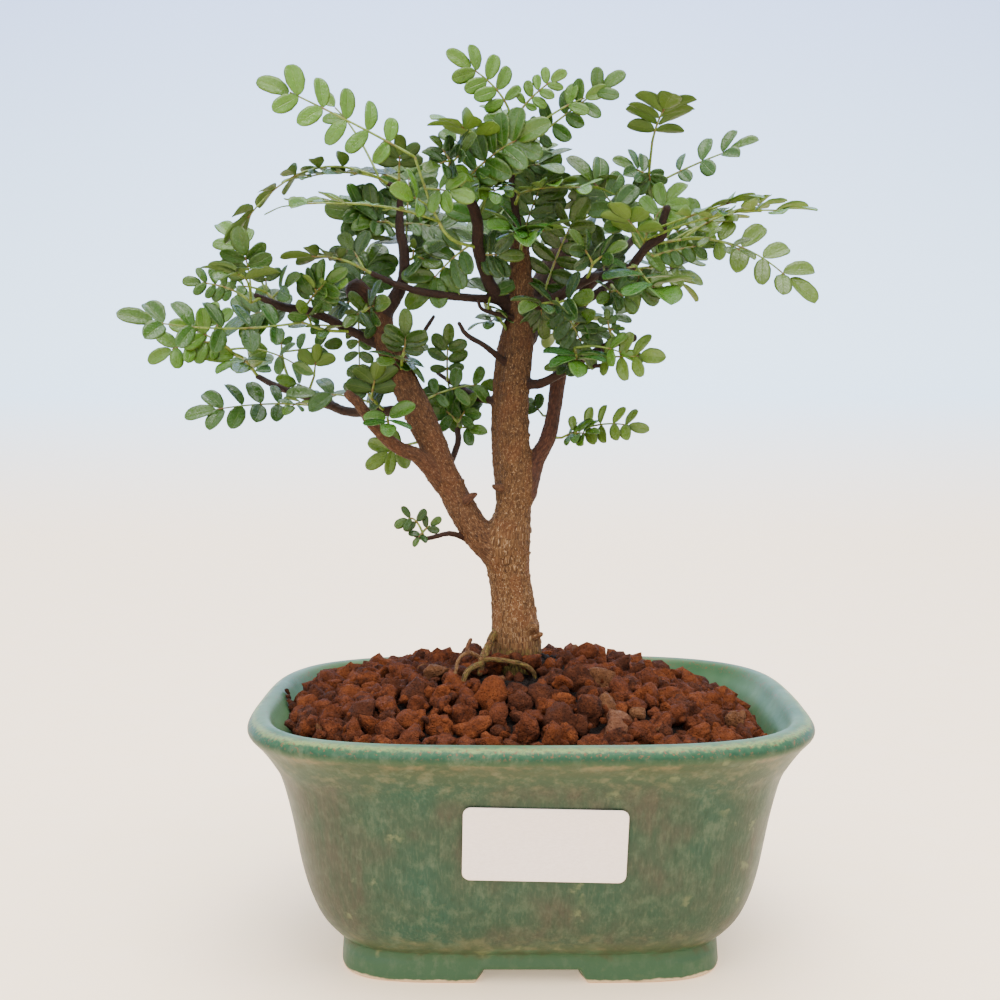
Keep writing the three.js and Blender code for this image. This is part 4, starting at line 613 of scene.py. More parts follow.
def keep_vectors(piece, name, rows):
    """Stores three numbers for each vertex, for the material to read."""
    attribute = piece.data.attributes.new(name, "FLOAT_VECTOR", "POINT")
    attribute.data.foreach_set("vector", np.asarray(rows, np.float32).ravel())


class Parts:
    """Several small meshes gathered into one, with a row of numbers for each point."""

    def __init__(self):
        self.points, self.faces, self.rows, self.kinds, self.count = [], [], [], [], 0

    def add(self, points, faces, row, kind=0):
        self.points.append(np.asarray(points, float))
        self.faces.extend([[i + self.count for i in face] for face in faces])
        row = np.asarray(row, float)
        self.rows.append(row if row.ndim == 2 else np.tile(row, (len(points), 1)))
        self.kinds.extend([kind] * len(faces))
        self.count += len(points)

    def joined(self):
        return np.vstack(self.points), self.faces, np.vstack(self.rows), self.kinds


def value_noise(points, seed):
    """Smooth noise from -1 to 1, one bump to the unit."""
    cell = np.floor(points).astype(np.int64)
    part = points - cell
    ease = part * part * (3 - 2 * part)
    total = np.zeros(len(points))
    for corner in itertools.product((0, 1), repeat=3):
        key = (cell + corner) @ np.array([73856093, 19349663, 83492791]) + seed * 9781
        key = ((key ^ (key >> 13)) * 1274126177) & 0x7FFFFFFF
        key = ((key ^ (key >> 15)) * 668265263) & 0x7FFFFFFF
        weight = np.prod(np.where(corner, ease, 1 - ease), axis=1)
        total += weight * (key / 0x3FFFFFFF - 1)
    return total


def unit(vectors):
    length = np.linalg.norm(vectors, axis=-1, keepdims=True)
    return vectors / np.maximum(length, 1e-9)


def smooth_path(stations, steps):
    """A smooth curve through rows of numbers, with so many steps between two of them."""
    rows = np.asarray(stations, float)
    padded = np.vstack([2 * rows[0] - rows[1], rows, 2 * rows[-1] - rows[-2]])
    out = []
    for a, b, c, d in zip(padded, padded[1:], padded[2:], padded[3:]):
        for t in np.arange(steps) / steps:
            curved = (2 * a - 5 * b + 4 * c - d) * t**2 + (3 * b - a - 3 * c + d) * t**3
            out.append(0.5 * (2 * b + (c - a) * t + curved))
    out.append(rows[-1])
    return np.array(out)


def point_along(stations, share):
    """The point at this share of a broken line."""
    place = share * (len(stations) - 1)
    i = min(int(place), len(stations) - 2)
    return stations[i] + (stations[i + 1] - stations[i]) * (place - i)


def path_frames(path):
    """Directions ahead, aside and across at each point of a path, without twist."""
    ahead = unit(np.gradient(path, axis=0))
    side = np.cross(ahead[0], (0.2, 0.9, 0.3) if abs(ahead[0][2]) > 0.7 else (0, 0.1, 1))
    sides = []
    for direction in ahead:
        side = unit(side - direction * (side @ direction))
        sides.append(side)
    sides = np.array(sides)
    return ahead, sides, np.cross(ahead, sides)


def ring_faces(rings, count):
    """Faces between rings of so many points that follow each other."""
    faces = []
    for n in range(rings - 1):
        for j in range(count):
            k = (j + 1) % count
            low, high = n * count, (n + 1) * count
            faces.append([low + j, low + k, high + k, high + j])
    return faces


def tube(path, radii, sides):
    """Points and faces of a closed tube with rounded ends."""
    path, radii = np.asarray(path, float), np.asarray(radii, float)
    ahead, side, across = path_frames(path)
    angle = np.linspace(0, 2 * np.pi, sides, endpoint=False)
    ring = np.cos(angle)[:, None] * side[:, None] + np.sin(angle)[:, None] * across[:, None]
    points = (path[:, None] + ring * radii[:, None, None]).reshape(-1, 3)
    ends = [path[0] - ahead[0] * radii[0] * 0.5, path[-1] + ahead[-1] * radii[-1] * 0.6]
    first, last = len(points), len(points) + 1
    faces = ring_faces(len(path), sides)
    top = (len(path) - 1) * sides
    for j in range(sides):
        k = (j + 1) % sides
        faces.append([first, k, j])
        faces.append([last, top + j, top + k])
    return np.vstack([points, ends]), faces


# Materials


def srgb(red, green, blue):
    """A colour given from 0 to 255 as the colour that a shader takes."""
    shares = [value / 255 for value in (red, green, blue)]
    curved = [s / 12.92 if s <= 0.04045 else ((s + 0.055) / 1.055) ** 2.4 for s in shares]
    return (*curved, 1)


def tint(value):
    """A colour given from 0 to 255 as a shader takes it, and anything else as it is."""
    return srgb(*value) if isinstance(value, tuple) and len(value) == 3 else value


class Shader:
    """A material's node tree, with short calls for the nodes used here."""

    def __init__(self, name):
        self.material = bpy.data.materials.new(name)
        self.material.use_nodes = True
        self.tree = self.material.node_tree
        self.surface = self.tree.nodes["Principled BSDF"]

    def node(self, kind, inputs=None, **settings):
        made = self.tree.nodes.new(kind)
        for key, value in settings.items():
            setattr(made, key, value)
        for key, value in (inputs or {}).items():
            self.put(made.inputs[key], value)
        return made

    def put(self, socket, value):
        if isinstance(value, bpy.types.NodeSocket):
            self.tree.links.new(value, socket)
        else:
            socket.default_value = value

    def set(self, **inputs):
        for key, value in inputs.items():
            self.put(self.surface.inputs[key.replace("_", " ")], value)

    def place(self):
        return self.node("ShaderNodeTexCoord").outputs["Object"]

    def stored(self, name):
        """The three numbers kept under this name for each vertex."""
        stored = self.node("ShaderNodeAttribute", attribute_name=name)
        return self.split(stored.outputs["Vector"])

    def noise(self, vector, scale=1.0, detail=3.0, rough=0.55):
        """Noise with one scale, or with one for each axis."""
        if isinstance(scale, tuple):
            mapped = self.node("ShaderNodeMapping", {"Vector": vector, "Scale": scale})
            vector, scale = mapped.outputs[0], 1
        inputs = {"Vector": vector, "Scale": scale, "Detail": detail, "Roughness": rough}
        return self.node("ShaderNodeTexNoise", inputs).outputs["Fac"]

    def cells(self, vector, scale):
        inputs = {"Vector": vector, "Scale": scale}
        return self.node("ShaderNodeTexVoronoi", inputs, feature="F1").outputs["Distance"]

    def range(self, value, low, high, start=0.0, end=1.0):
        inputs = {"Value": value, "From Min": low, "From Max": high, "To Min": start, "To Max": end}
        return self.node("ShaderNodeMapRange", inputs).outputs[0]

    def math(self, operation, first, second=0.0):
        return self.node("ShaderNodeMath", {0: first, 1: second}, operation=operation).outputs[0]

    def times(self, first, second):
        return self.math("MULTIPLY", first, second)

    def plus(self, first, second):
        return self.math("ADD", first, second)

    def split(self, vector):
        return self.node("ShaderNodeSeparateXYZ", {"Vector": vector}).outputs

    def mix(self, share, first, second, blend="MIX"):
        made = self.node("ShaderNodeMix", data_type="RGBA", blend_type=blend)
        self.put(made.inputs[0], share)
        self.put(made.inputs[6], tint(first))
        self.put(made.inputs[7], tint(second))
        return made.outputs[2]

    def ramp(self, value, stops):
        made = self.node("ShaderNodeValToRGB", {"Fac": value})
        marks = made.color_ramp.elements
        while len(marks) < len(stops):
            marks.new(1)
        for mark, (place, colour) in zip(marks, stops):
            mark.position = place
            mark.color = tint(colour)
        return made.outputs[0]

    def bump(self, height, distance, strength=1.0):
        inputs = {"Height": height, "Distance": distance, "Strength": strength}
        self.put(self.surface.inputs["Normal"], self.node("ShaderNodeBump", inputs).outputs[0])


def bark_material():
    """Ridged brown bark on old wood, dark and smooth on young, with moss at the foot."""
    s = Shader("bark")
    grain = s.node("ShaderNodeAttribute", attribute_name="grain").outputs["Vector"]
    youth, moss_share, cut = s.stored("age")
    fissures = s.noise(grain, (1.9, 1.9, 0.8), 5, 0.7)
    flecks = s.noise(grain, (2.6, 2.6, 1.7), 5, 0.7)
    patches = s.noise(grain, (0.16, 0.16, 0.1), 2)
    old = s.ramp(fissures, [
        (0.3, (36, 21, 12)), (0.44, (80, 54, 32)), (0.58, (112, 79, 48)), (0.74, (156, 122, 80)),
    ])
    old = s.mix(s.range(patches, 0.5, 0.62, 0, 0.4), old, (108, 64, 36))
    old = s.mix(s.range(flecks, 0.56, 0.64, 0, 0.85), old, (182, 148, 112))
    young = s.ramp(flecks, [(0.35, (26, 14, 10)), (0.55, (48, 27, 18)), (0.75, (88, 54, 34))])
    middle = s.ramp(fissures, [(0.3, (40, 21, 15)), (0.5, (76, 44, 31)), (0.7, (112, 72, 52))])
    colour = s.mix(s.range(youth, 0, 0.5), old, middle)
    colour = s.mix(s.range(youth, 0.5, 1), colour, young)
    moss = s.ramp(s.noise(grain, (2.2, 2.2, 0.5), 3), [
        (0.35, (42, 32, 15)), (0.5, (78, 66, 27)), (0.68, (116, 102, 50)),
    ])
    patchy = s.plus(moss_share, s.range(flecks, 0.3, 0.7, -0.45, 0.45))
    colour = s.mix(s.range(patchy, 0.45, 0.7), colour, moss)
    # Painted shade: the bark darkens up the trunk towards the crown, where the leaves shade it
    pale = s.range(s.split(s.place())[2], 0.085, 0.165, 1.03, 0.42)  # paler towards the foot
    pale = s.node("ShaderNodeCombineXYZ", {0: pale, 1: pale, 2: pale}).outputs[0]
    colour = s.mix(1, colour, pale, "MULTIPLY")
    colour = s.mix(cut, colour, s.mix(flecks, (20, 10, 8), (52, 30, 22)))
    rough = s.range(youth, 0, 1, 0.85, 0.6)
    s.set(Base_Color=colour, Roughness=rough, Specular_IOR_Level=0.25)
    s.bump(s.plus(fissures, s.times(flecks, 0.6)), 0.0008, 0.8)
    return s.material


def leaf_material(name, top, under):
    """A leaflet's green: glossy above, dull and pale below, and light shines through it."""
    s = Shader(name)
    top, under = srgb(*top), srgb(*under)
    side, along, below = s.stored("blade")
    chance, youth, _ = s.stored("tone")
    across = s.math("ABSOLUTE", side)
    veins = s.plus(s.times(along, 7), s.times(across, -2.2))
    vein = s.math("ABSOLUTE", s.math("SINE", s.times(veins, math.pi)))
    vein = s.range(vein, 0.0, 0.3, 1, 0)
    midrib = s.range(across, 0.02, 0.08, 1, 0)
    lines = s.math("MAXIMUM", midrib, s.times(vein, 0.35))
    speckle = s.noise(s.place(), 900, 3)
    light = tuple(min(1, c * 1.5 + 0.01) for c in top[:3]) + (1,)
    deep = tuple(c * 0.62 for c in top[:3]) + (1,)
    face = s.mix(s.range(speckle, 0.3, 0.7), deep, top)
    face = s.mix(s.range(chance, 0, 1, 0, 0.45), face, light)
    back = s.mix(s.range(chance, 0, 1, 0.1, 0.4), under, top)
    colour = s.mix(below, face, back)
    colour = s.mix(s.times(lines, 0.2), colour, (128, 150, 70))
    colour = s.mix(s.range(youth, 0, 1, 0, 0.8), colour, (112, 140, 44))
    dots = s.noise(s.place(), 1500, 1)
    edge = s.times(s.range(across, 0.8, 0.95, 0, 0.55), s.range(dots, 0.5, 0.6))
    colour = s.mix(edge, colour, (132, 152, 72))
    gloss = s.range(s.noise(s.place(), 600, 3), 0.35, 0.65, 0.12, 0.42)
    gloss = s.plus(gloss, s.times(below, 0.28))
    s.set(Base_Color=colour, Roughness=gloss, Specular_IOR_Level=0.5)
    s.bump(s.plus(s.times(lines, -0.4), speckle), 0.0003, 0.8)
    through = s.node("ShaderNodeBsdfTranslucent", {"Color": s.mix(0.3, colour, (120, 160, 30))})
    both = s.node("ShaderNodeMixShader", {0: 0.3})
    s.put(both.inputs[1], s.surface.outputs[0])
    s.put(both.inputs[2], through.outputs[0])
    s.put(s.tree.nodes["Material Output"].inputs["Surface"], both.outputs[0])
    return s.material


def stem_material():
    """A green stem, red where its tone says so."""
    s = Shader("green_stem")
    speckle = s.noise(s.place(), 1100, 3)
    colour = s.ramp(speckle, [(0.35, (70, 92, 26)), (0.65, (112, 134, 46))])
    colour = s.mix(s.stored("tone")[2], colour, (92, 46, 24))
    s.set(Base_Color=colour, Roughness=0.45)
    s.bump(speckle, 0.0001, 0.5)
    return s.material


def granule_material(name, dark, middle, light, roughness=0.92):
    """Porous stone with dark pits and pale dust."""
    s = Shader(name)
    place = s.place()
    pits = s.cells(place, 1300)
    dust = s.noise(place, 420, 5, 0.7)
    fine = s.noise(place, 2300, 3, 0.7)
    colour = s.ramp(dust, [(0.3, dark), (0.5, middle), (0.7, light)])
    colour = s.mix(s.range(s.stored("tone")[0], 0, 1, 0, 0.5), colour, middle)
    colour = s.mix(s.range(pits, 0.0, 0.3, 0.8, 0), colour, dark)
    colour = s.mix(s.range(fine, 0.58, 0.72, 0, 0.6), colour, light)
    s.set(Base_Color=colour, Roughness=roughness, Specular_IOR_Level=0.15)
    crumbs = s.noise(place, 900, 4, 0.7)
    rough = s.plus(s.range(pits, 0, 0.4, 0, 0.5), s.times(crumbs, 2.2))
    s.bump(rough, 0.0009, 1)
    return s.material


def paper_material():
    s = Shader("label_paper")
    place = s.place()
    fibres = s.noise(place, (900, 900, 2200), 4, 0.6)
    clouds = s.noise(place, 70, 2)
    colour = s.mix(s.range(fibres, 0.3, 0.7), (232, 218, 214), (244, 233, 229))
    colour = s.mix(s.range(clouds, 0.4, 0.7, 0, 0.35), colour, (238, 224, 214))
    s.set(Base_Color=colour, Roughness=0.55)
    s.bump(fibres, 0.00004, 0.4)
    return s.material


def plastic_material():
    s = Shader("black_plastic")
    grain = s.noise(s.place(), 1800, 3)
    s.set(Base_Color=s.mix(grain, (26, 28, 27), (48, 50, 48)), Roughness=0.55)
    s.bump(grain, 0.0001, 0.4)
    return s.material


def glazed_wall(s, place, clouds, fine_runs):
    """Green and olive clouds with runs down the wall."""
    runs = s.noise(place, (420, 420, 60), 4, 0.6)
    wall = s.ramp(clouds, [(0.36, (32, 64, 50)), (0.5, (43, 62, 47)), (0.62, (56, 58, 47))])
    wall = s.mix(s.range(runs, 0.42, 0.7, 0, 0.5), wall, (30, 60, 43))
    wall = s.mix(s.range(fine_runs, 0.52, 0.74, 0, 0.35), wall, (82, 88, 66))
    return s.mix(s.range(fine_runs, 0.46, 0.3, 0, 0.4), wall, (27, 43, 29))


def glazed_lip(s, place, height, spots, colour):
    """The lip's bands: a broken beige line, dark green under the edge and a pale edge, partly thin
    glaze and partly a painted highlight.
    """
    grit = s.noise(place, 800, 3)
    edge = s.plus(height, s.range(spots, 0.3, 0.7, -0.25, 0.25))
    edge = s.plus(edge, s.range(grit, 0.3, 0.7, -0.4, 0.4))
    lip = s.ramp(s.range(edge, 56, 68), [
        (0.0, (41, 60, 44)), (0.25, (46, 64, 46)), (0.44, (56, 66, 46)), (0.53, (92, 86, 60)),
        # the pale stop at 0.89 is the crest: partly thin glaze, partly a painted highlight
        (0.6, (50, 70, 47)), (0.72, (26, 60, 42)), (0.83, (38, 76, 52)), (0.89, (110, 128, 76)),
        (0.95, (58, 94, 64)),
    ])
    colour = s.mix(s.range(edge, 55, 58), colour, lip)
    gaps = s.times(s.range(edge, 60.6, 61.4), s.range(edge, 63.6, 62.8))
    broken = s.range(s.noise(place, (110, 110, 110), 3, 0.6), 0.44, 0.56)
    return s.mix(s.times(gaps, broken), colour, (48, 64, 44))


def glazed_spots(s, place, height, clouds, inside, colour):
    """Pale dabs and mottle all over, and blotches under the lip and above the foot."""
    dabs = s.noise(place, (230, 230, 230), 3, 0.6)
    pale = s.times(s.range(dabs, 0.56, 0.66), s.range(s.cells(place, 110), 0.36, 0.14))
    colour = s.mix(s.times(pale, 0.7), colour, (96, 104, 72))
    mottle = s.noise(place, (330, 330, 240), 4, 0.65)
    mottled = s.times(s.range(mottle, 0.5, 0.68), s.range(clouds, 0.35, 0.65, 0.45, 0.15))
    outside = s.math("SUBTRACT", 1, inside)
    colour = s.mix(s.times(mottled, outside), colour, (88, 100, 78))
    blots = s.range(s.noise(place, (260, 260, 360), 3, 0.6), 0.5, 0.7)
    under_lip = s.times(s.range(height, 51, 57), s.range(height, 63, 61))
    above_foot = s.times(s.range(height, 8, 10), s.range(height, 17, 12))
    bands = s.plus(s.times(under_lip, 0.5), s.times(above_foot, 0.5))
    return s.mix(s.times(blots, bands), colour, (98, 96, 70))


def glaze_material():
    """The pot's glaze by height in millimetres, with bare clay under its feet."""
    s = Shader("green_glaze")
    place = s.place()
    height = s.times(s.split(place)[2], 1000)
    inside = s.stored("lining")[0]
    fine_runs = s.noise(place, (1500, 1500, 260), 3, 0.6)
    clouds = s.noise(place, 38, 3)
    spots = s.noise(place, (150, 150, 230), 3, 0.6)
    uneven = s.plus(height, s.range(spots, 0.3, 0.7, -3.0, 3.0))
    foot = s.mix(s.range(uneven, 7, 9), (52, 80, 56), (58, 71, 48))
    colour = s.mix(s.range(uneven, 9, 14), foot, glazed_wall(s, place, clouds, fine_runs))
    colour = glazed_lip(s, place, height, spots, colour)
    lining = s.mix(s.range(clouds, 0.4, 0.6), (54, 88, 56), (78, 106, 72))
    colour = s.mix(inside, colour, lining)
    colour = glazed_spots(s, place, height, clouds, inside, colour)
    rust = s.range(s.noise(place, 1200, 2), 0.58, 0.66)
    at_lip = s.times(s.range(height, 64, 65.5), s.range(height, 67.6, 66.8))
    colour = s.mix(s.times(rust, s.times(at_lip, 0.65)), colour, (112, 70, 46))
    bare = s.range(s.plus(height, s.range(spots, 0.3, 0.7, -0.4, 0.4)), 1.1, 0.7)
    colour = s.mix(bare, colour, (196, 172, 138))
    rough = s.range(spots, 0.3, 0.7, 0.4, 0.5)
    s.set(Base_Color=colour, Roughness=rough, Specular_IOR_Level=0.2)
    s.bump(s.plus(clouds, s.times(fine_runs, 0.12)), 0.0006, 0.6)
    return s.material


# Pot


def corner_exponent(height):
    """The superellipse's exponent at this height."""
    low, high = POT_OUTSIDE[0][1], POT_OUTSIDE[-1][1]
    share = min(max((height - low) / (high - low), 0), 1)
    return CORNER_FOOT if height < low else CORNER_LOW + (CORNER_RIM - CORNER_LOW) * share


def superellipse(half_width, half_depth, angles, exponent):
    """Places round a rounded rectangle."""
    cosine, sine = np.cos(angles), np.sin(angles)
    x = half_width * np.sign(cosine) * np.abs(cosine) ** (2 / exponent)
    y = half_depth * np.sign(sine) * np.abs(sine) ** (2 / exponent)
    return x, y


def pot_ring(half_width, heights, angles, exponent):
    """Points round the pot. The heights are one number or one for each angle."""
    x, y = superellipse(half_width, half_width - POT_NARROWING, angles, exponent)
    return np.column_stack([x, y, np.broadcast_to(heights, x.shape)])


def pot_front(x, half_width, exponent):
    """How far the pot's front stands before its middle."""
    return -(half_width - POT_NARROWING) * (1 - abs(x / half_width) ** exponent) ** (1 / exponent)


def inner_half_width(heights):
    """The half-width inside the pot at these heights."""
    return np.interp(heights, [z for _, z in POT_INSIDE[::-1]], [w for w, _ in POT_INSIDE[::-1]])


def ring_angles(exponent, count):
    """Angles that space the ring's points evenly, with more of them at the recesses' sides."""
    fine = np.linspace(0, 2 * np.pi, 8001)
    ring = pot_ring(FOOT_HALF_WIDTH, 0, fine, exponent)
    step = np.linalg.norm(np.diff(ring, axis=0), axis=1)
    beside = np.minimum(np.abs(ring[:, 0]), np.abs(ring[:, 1]))[1:]
    slant = np.abs(beside - RECESS_HALF_WIDTH - RECESS_SLANT / 2) < RECESS_SLANT
    run = np.concatenate([[0], np.cumsum(step * np.where(slant, 3, 1))])
    return np.interp(np.linspace(0, run[-1], count, endpoint=False), run, fine)


def foot_heights(ring):
    """Height of the foot's lower edge: on the table at the corners, raised between them."""
    beside = np.minimum(np.abs(ring[:, 0]), np.abs(ring[:, 1]))
    share = np.clip((RECESS_HALF_WIDTH + RECESS_SLANT - beside) / RECESS_SLANT, 0, 1)
    return RECESS_TOP * share * share * (3 - 2 * share)


def drain_circle(mesh, side, height):
    """Vertices round one drain hole."""
    angles = np.linspace(0, 2 * np.pi, DRAIN_SIDES, endpoint=False)
    middle = side * DRAIN_OFFSET
    places = [(middle + DRAIN_RADIUS * math.cos(a), DRAIN_RADIUS * math.sin(a)) for a in angles]
    return [mesh.verts.new((x, y, height)) for x, y in places]


def plate_with_holes(mesh, ring, height, top):
    """Closes a ring of vertices with a flat plate that has the two drain holes in it."""
    pairs = list(zip(ring, ring[1:] + ring[:1]))
    edges = [mesh.edges.get(pair) or mesh.edges.new(pair) for pair in pairs]
    holes = []
    for side in (-1, 1):
        circle = drain_circle(mesh, side, height)
        edges += [mesh.edges.new((a, b)) for a, b in zip(circle, circle[1:] + circle[:1])]
        holes.append(circle)
    made = bmesh.ops.triangle_fill(mesh, edges=edges, use_beauty=True, use_dissolve=False)
    for face in (f for f in made["geom"] if isinstance(f, bmesh.types.BMFace)):
        face.normal_update()
        if (face.normal.z > 0) != top:
            face.normal_flip()
    return holes


def foot_rings(angles):
    """Rings from the pot's underside round the foot's lower edge and up its side."""
    low = foot_heights(pot_ring(FOOT_HALF_WIDTH, 0, angles, CORNER_FOOT))
    inner = FOOT_HALF_WIDTH - FOOT_WALL
    rows = [(inner, UNDERSIDE)]
    turns = [math.radians(turn) for turn in (0, 30, 60, 90)]
    for a in turns:
        rise = np.minimum(FOOT_EDGE * (1 - math.sin(a)), UNDERSIDE - 0.05 - low)
        rows.append((inner + FOOT_EDGE * (1 - math.cos(a)) * 0.9, low + rise))
    for a in turns:
        half = FOOT_HALF_WIDTH - FOOT_EDGE * (1 - math.sin(a))
        rows.append((half, low + FOOT_EDGE * (1 - math.cos(a))))
    bottom = low + FOOT_EDGE
    for share in (0.25, 0.5, 0.75):
        half = FOOT_HALF_WIDTH + (POT_OUTSIDE[0][0] - FOOT_HALF_WIDTH) * share
        rows.append((half, bottom + (FOOT_TOP - bottom) * share))
    return [pot_ring(half, heights, angles, CORNER_FOOT) for half, heights in rows]


def pot_mesh(rings):
    """Points and faces of the closed pot with its two drain holes."""
    mesh = bmesh.new()
    corners = [mesh.verts.new(point) for ring in rings for point in ring]
    for face in ring_faces(len(rings), POT_SIDES):
        mesh.faces.new([corners[i] for i in face])
    under = plate_with_holes(mesh, corners[:POT_SIDES], UNDERSIDE, False)
    floor = plate_with_holes(mesh, corners[-POT_SIDES:], POT_INSIDE[-1][1], True)
    for low, high in zip(under, floor):
        for j in range(DRAIN_SIDES):
            k = (j + 1) % DRAIN_SIDES
            mesh.faces.new((low[k], low[j], high[j], high[k]))
    mesh.verts.index_update()
    points = np.array([v.co[:] for v in mesh.verts])
    faces = [[v.index for v in f.verts] for f in mesh.faces]
    mesh.free()
    return points, faces


def make_pot(material):
    angles = ring_angles(CORNER_FOOT, POT_SIDES)
    rings = foot_rings(angles)
    wall = smooth_path(POT_OUTSIDE + POT_INSIDE, POT_STEPS)
    crest = len(rings) + POT_STEPS * (len(POT_OUTSIDE) - 1)
    rings += [pot_ring(half, z, angles, corner_exponent(z)) for half, z in wall]
    points, faces = pot_mesh(rings)
    inside = np.clip(np.arange(len(points)) // POT_SIDES - crest, 0, 2) / 2
    inside[len(rings) * POT_SIDES:] = 0
    wobble = np.column_stack([value_noise(points / 17, 3), value_noise(points / 17, 4)])
    points[:, :2] += POT_UNEVEN * wobble * np.clip(points[:, 2:] / 20, 0, 1)
    made = make_piece("glazed_pot", points, faces, [material], ["pot"])
    keep_vectors(made, "lining", np.column_stack([inside, inside, inside]))


# Label: a blank sticker that follows the pot's front


def label_outline(count):
    """The sticker's outline with rounded corners, from its middle."""
    width, height = LABEL_SIZE
    out = []
    for n, (sx, sz) in enumerate([(1, 1), (-1, 1), (-1, -1), (1, -1)]):
        for turn in np.linspace(0, 90, count):
            a = math.radians(turn + 90 * n)
            x = sx * (width / 2 - LABEL_CORNER) + LABEL_CORNER * math.cos(a)
            z = sz * (height / 2 - LABEL_CORNER) + LABEL_CORNER * math.sin(a)
            out.append((x, z))
    return out


def label_ring(outline, lift, share):
    """The outline at a share of its size, this far before the pot's wall."""
    cosine, sine = math.cos(LABEL_TURN), math.sin(LABEL_TURN)
    flat = outline * share @ np.array([[cosine, sine], [-sine, cosine]]) + np.array(LABEL_PLACE)
    half = np.interp(flat[:, 1], [z for _, z in POT_OUTSIDE], [w for w, _ in POT_OUTSIDE])
    y = [pot_front(x, w, corner_exponent(z)) for (x, z), w in zip(flat, half)]
    return np.column_stack([flat[:, 0], np.array(y) - lift, flat[:, 1]])


def make_label(material):
    """Rings of the outline, shrinking to the middle, give points all over the sheet."""
    outline = np.array(label_outline(8))
    front_lift = LABEL_GAP + LABEL_THICKNESS
    back = [label_ring(outline, LABEL_GAP, share) for share in LABEL_SHARES]
    front = [label_ring(outline, front_lift - 0.06, 1)]  # its edge is a little rounded
    front += [label_ring(outline, front_lift, share) for share in LABEL_SHARES[1:]]
    rings = back[::-1] + front
    count = len(outline)
    faces = ring_faces(len(rings), count)
    faces.append(list(range(count - 1, -1, -1)))
    faces.append([(len(rings) - 1) * count + j for j in range(count)])
    make_piece("sticker", np.vstack(rings), faces, [material], ["paper_label"])


# Granules


def soil_height(x, y):
    """The heap's surface: a dome with a bank at the wall, sunk where the root arches over."""
    exponent = corner_exponent(SOIL_RIM)
    half = inner_half_width(SOIL_RIM)
    u, v = np.abs(x / half), np.abs(y / (half - POT_NARROWING))
    reach = np.minimum((u**exponent + v**exponent) ** (1 / exponent), 1.05)
    rim = SOIL_RIM - SOIL_TILT * x / half
    bank = SOIL_BANK_DROP * np.clip(reach - SOIL_BANK, 0, 1) / (1 - SOIL_BANK)
    height = SOIL_TOP - (SOIL_TOP - rim) * reach**SOIL_FALL - bank
    away = np.min([np.hypot(x - hx, y - hy) for hx, hy in ROOT_HOLLOW], axis=0)
    return height - HOLLOW_DEPTH * np.exp(-((away / HOLLOW_RADIUS) ** 4)), reach


def bed_height(x, y):
    """The surface of the dark bed under the lumps, which rises where the ground is bare."""
    away = [np.hypot(x - bx, y - by) for bx, by in ROOT_HOLLOW + ROOT_BALL]
    bare = BARE_LIFT * np.exp(-((np.min(away, axis=0) / BARE_RADIUS) ** 4))
    return soil_height(x, y)[0] - BED_DEPTH + bare


def crumb_directions(level):
    """Points and faces of a finely faceted ball of radius 1."""
    mesh = bmesh.new()
    bmesh.ops.create_icosphere(mesh, subdivisions=level, radius=1)
    points = np.array([v.co[:] for v in mesh.verts])
    faces = [[v.index for v in f.verts] for f in mesh.faces]
    mesh.free()
    return points, faces


def random_turn(rng):
    """A random rotation matrix."""
    q = unit(rng.normal(size=4))
    w, x, y, z = q
    return np.array([
        [1 - 2 * (y * y + z * z), 2 * (x * y - z * w), 2 * (x * z + y * w)],
        [2 * (x * y + z * w), 1 - 2 * (x * x + z * z), 2 * (y * z - x * w)],
        [2 * (x * z - y * w), 2 * (y * z + x * w), 1 - 2 * (x * x + y * y)],
    ])


def kept_inside(points):
    """The points moved in where they would reach into the pot's wall."""
    half = inner_half_width(points[:, 2]) - WALL_GAP
    across = np.abs(points[:, 0] / half) ** CORNER_RIM
    deep = np.abs(points[:, 1] / (half - POT_NARROWING)) ** CORNER_RIM
    reach = np.maximum((across + deep) ** (1 / CORNER_RIM), 1)[:, None]
    return np.hstack([points[:, :2] / reach, points[:, 2:]])


def make_lump(rng, ball, radius):
    """A broken lump: a ball cut by random planes, notched, its sides crumbly and pitted."""
    normals = unit(rng.normal(size=(10, 3)))
    offsets = rng.uniform(0.52, 0.9, 10)
    facing = np.maximum(ball @ normals.T, 1e-3)
    cuts = np.minimum(offsets / facing, 1.3)
    reach = -np.log(np.exp(-cuts * 60).sum(1)) / 60 + 0.12
    seed = int(rng.integers(1, 9999))
    reach = reach + 0.2 * value_noise(ball * 1.7 + 9, seed) + 0.13 * value_noise(ball * 3.6, seed + 1)
    reach = reach - 0.2 * np.clip(value_noise(ball * 5.6, seed + 2) - 0.05, 0, 1)
    reach = reach + 0.06 * value_noise(ball * 9.5, seed + 3)
    for notch in unit(rng.normal(size=(2, 3))):
        reach = reach - rng.uniform(0.1, 0.28) * np.exp(-((1 - ball @ notch) / 0.09))
    shape = ball * reach[:, None] * (1.2, rng.uniform(0.8, 1.1), rng.uniform(0.7, 1))
    return shape @ random_turn(rng).T * radius


def scatter(rng, radii, spacing, inset, keep_out):
    """Places circles of these radii over the heap, apart from each other, biggest first."""
    placed = np.zeros((0, 3))
    width = POT_INSIDE[2][0]
    for radius in sorted(radii, reverse=True):
        tries = rng.uniform(-1, 1, (60, 2)) * (width, width - POT_NARROWING)
        _, reach = soil_height(tries[:, 0], tries[:, 1])
        good = reach < 1 - inset * radius / (width - POT_NARROWING)
        for x, y, room in keep_out:
            good &= np.hypot(tries[:, 0] - x, tries[:, 1] - y) > room + radius * 0.7
        tries = tries[good]
        if len(placed) and len(tries):
            away = np.hypot(*(tries[:, None] - placed[None, :, :2]).transpose(2, 0, 1))
            slack = (away - spacing * (radius + placed[:, 2])).min(axis=1)
            tries = tries[slack > 0]
        if len(tries):
            placed = np.vstack([placed, [*tries[0], radius]])
    return placed


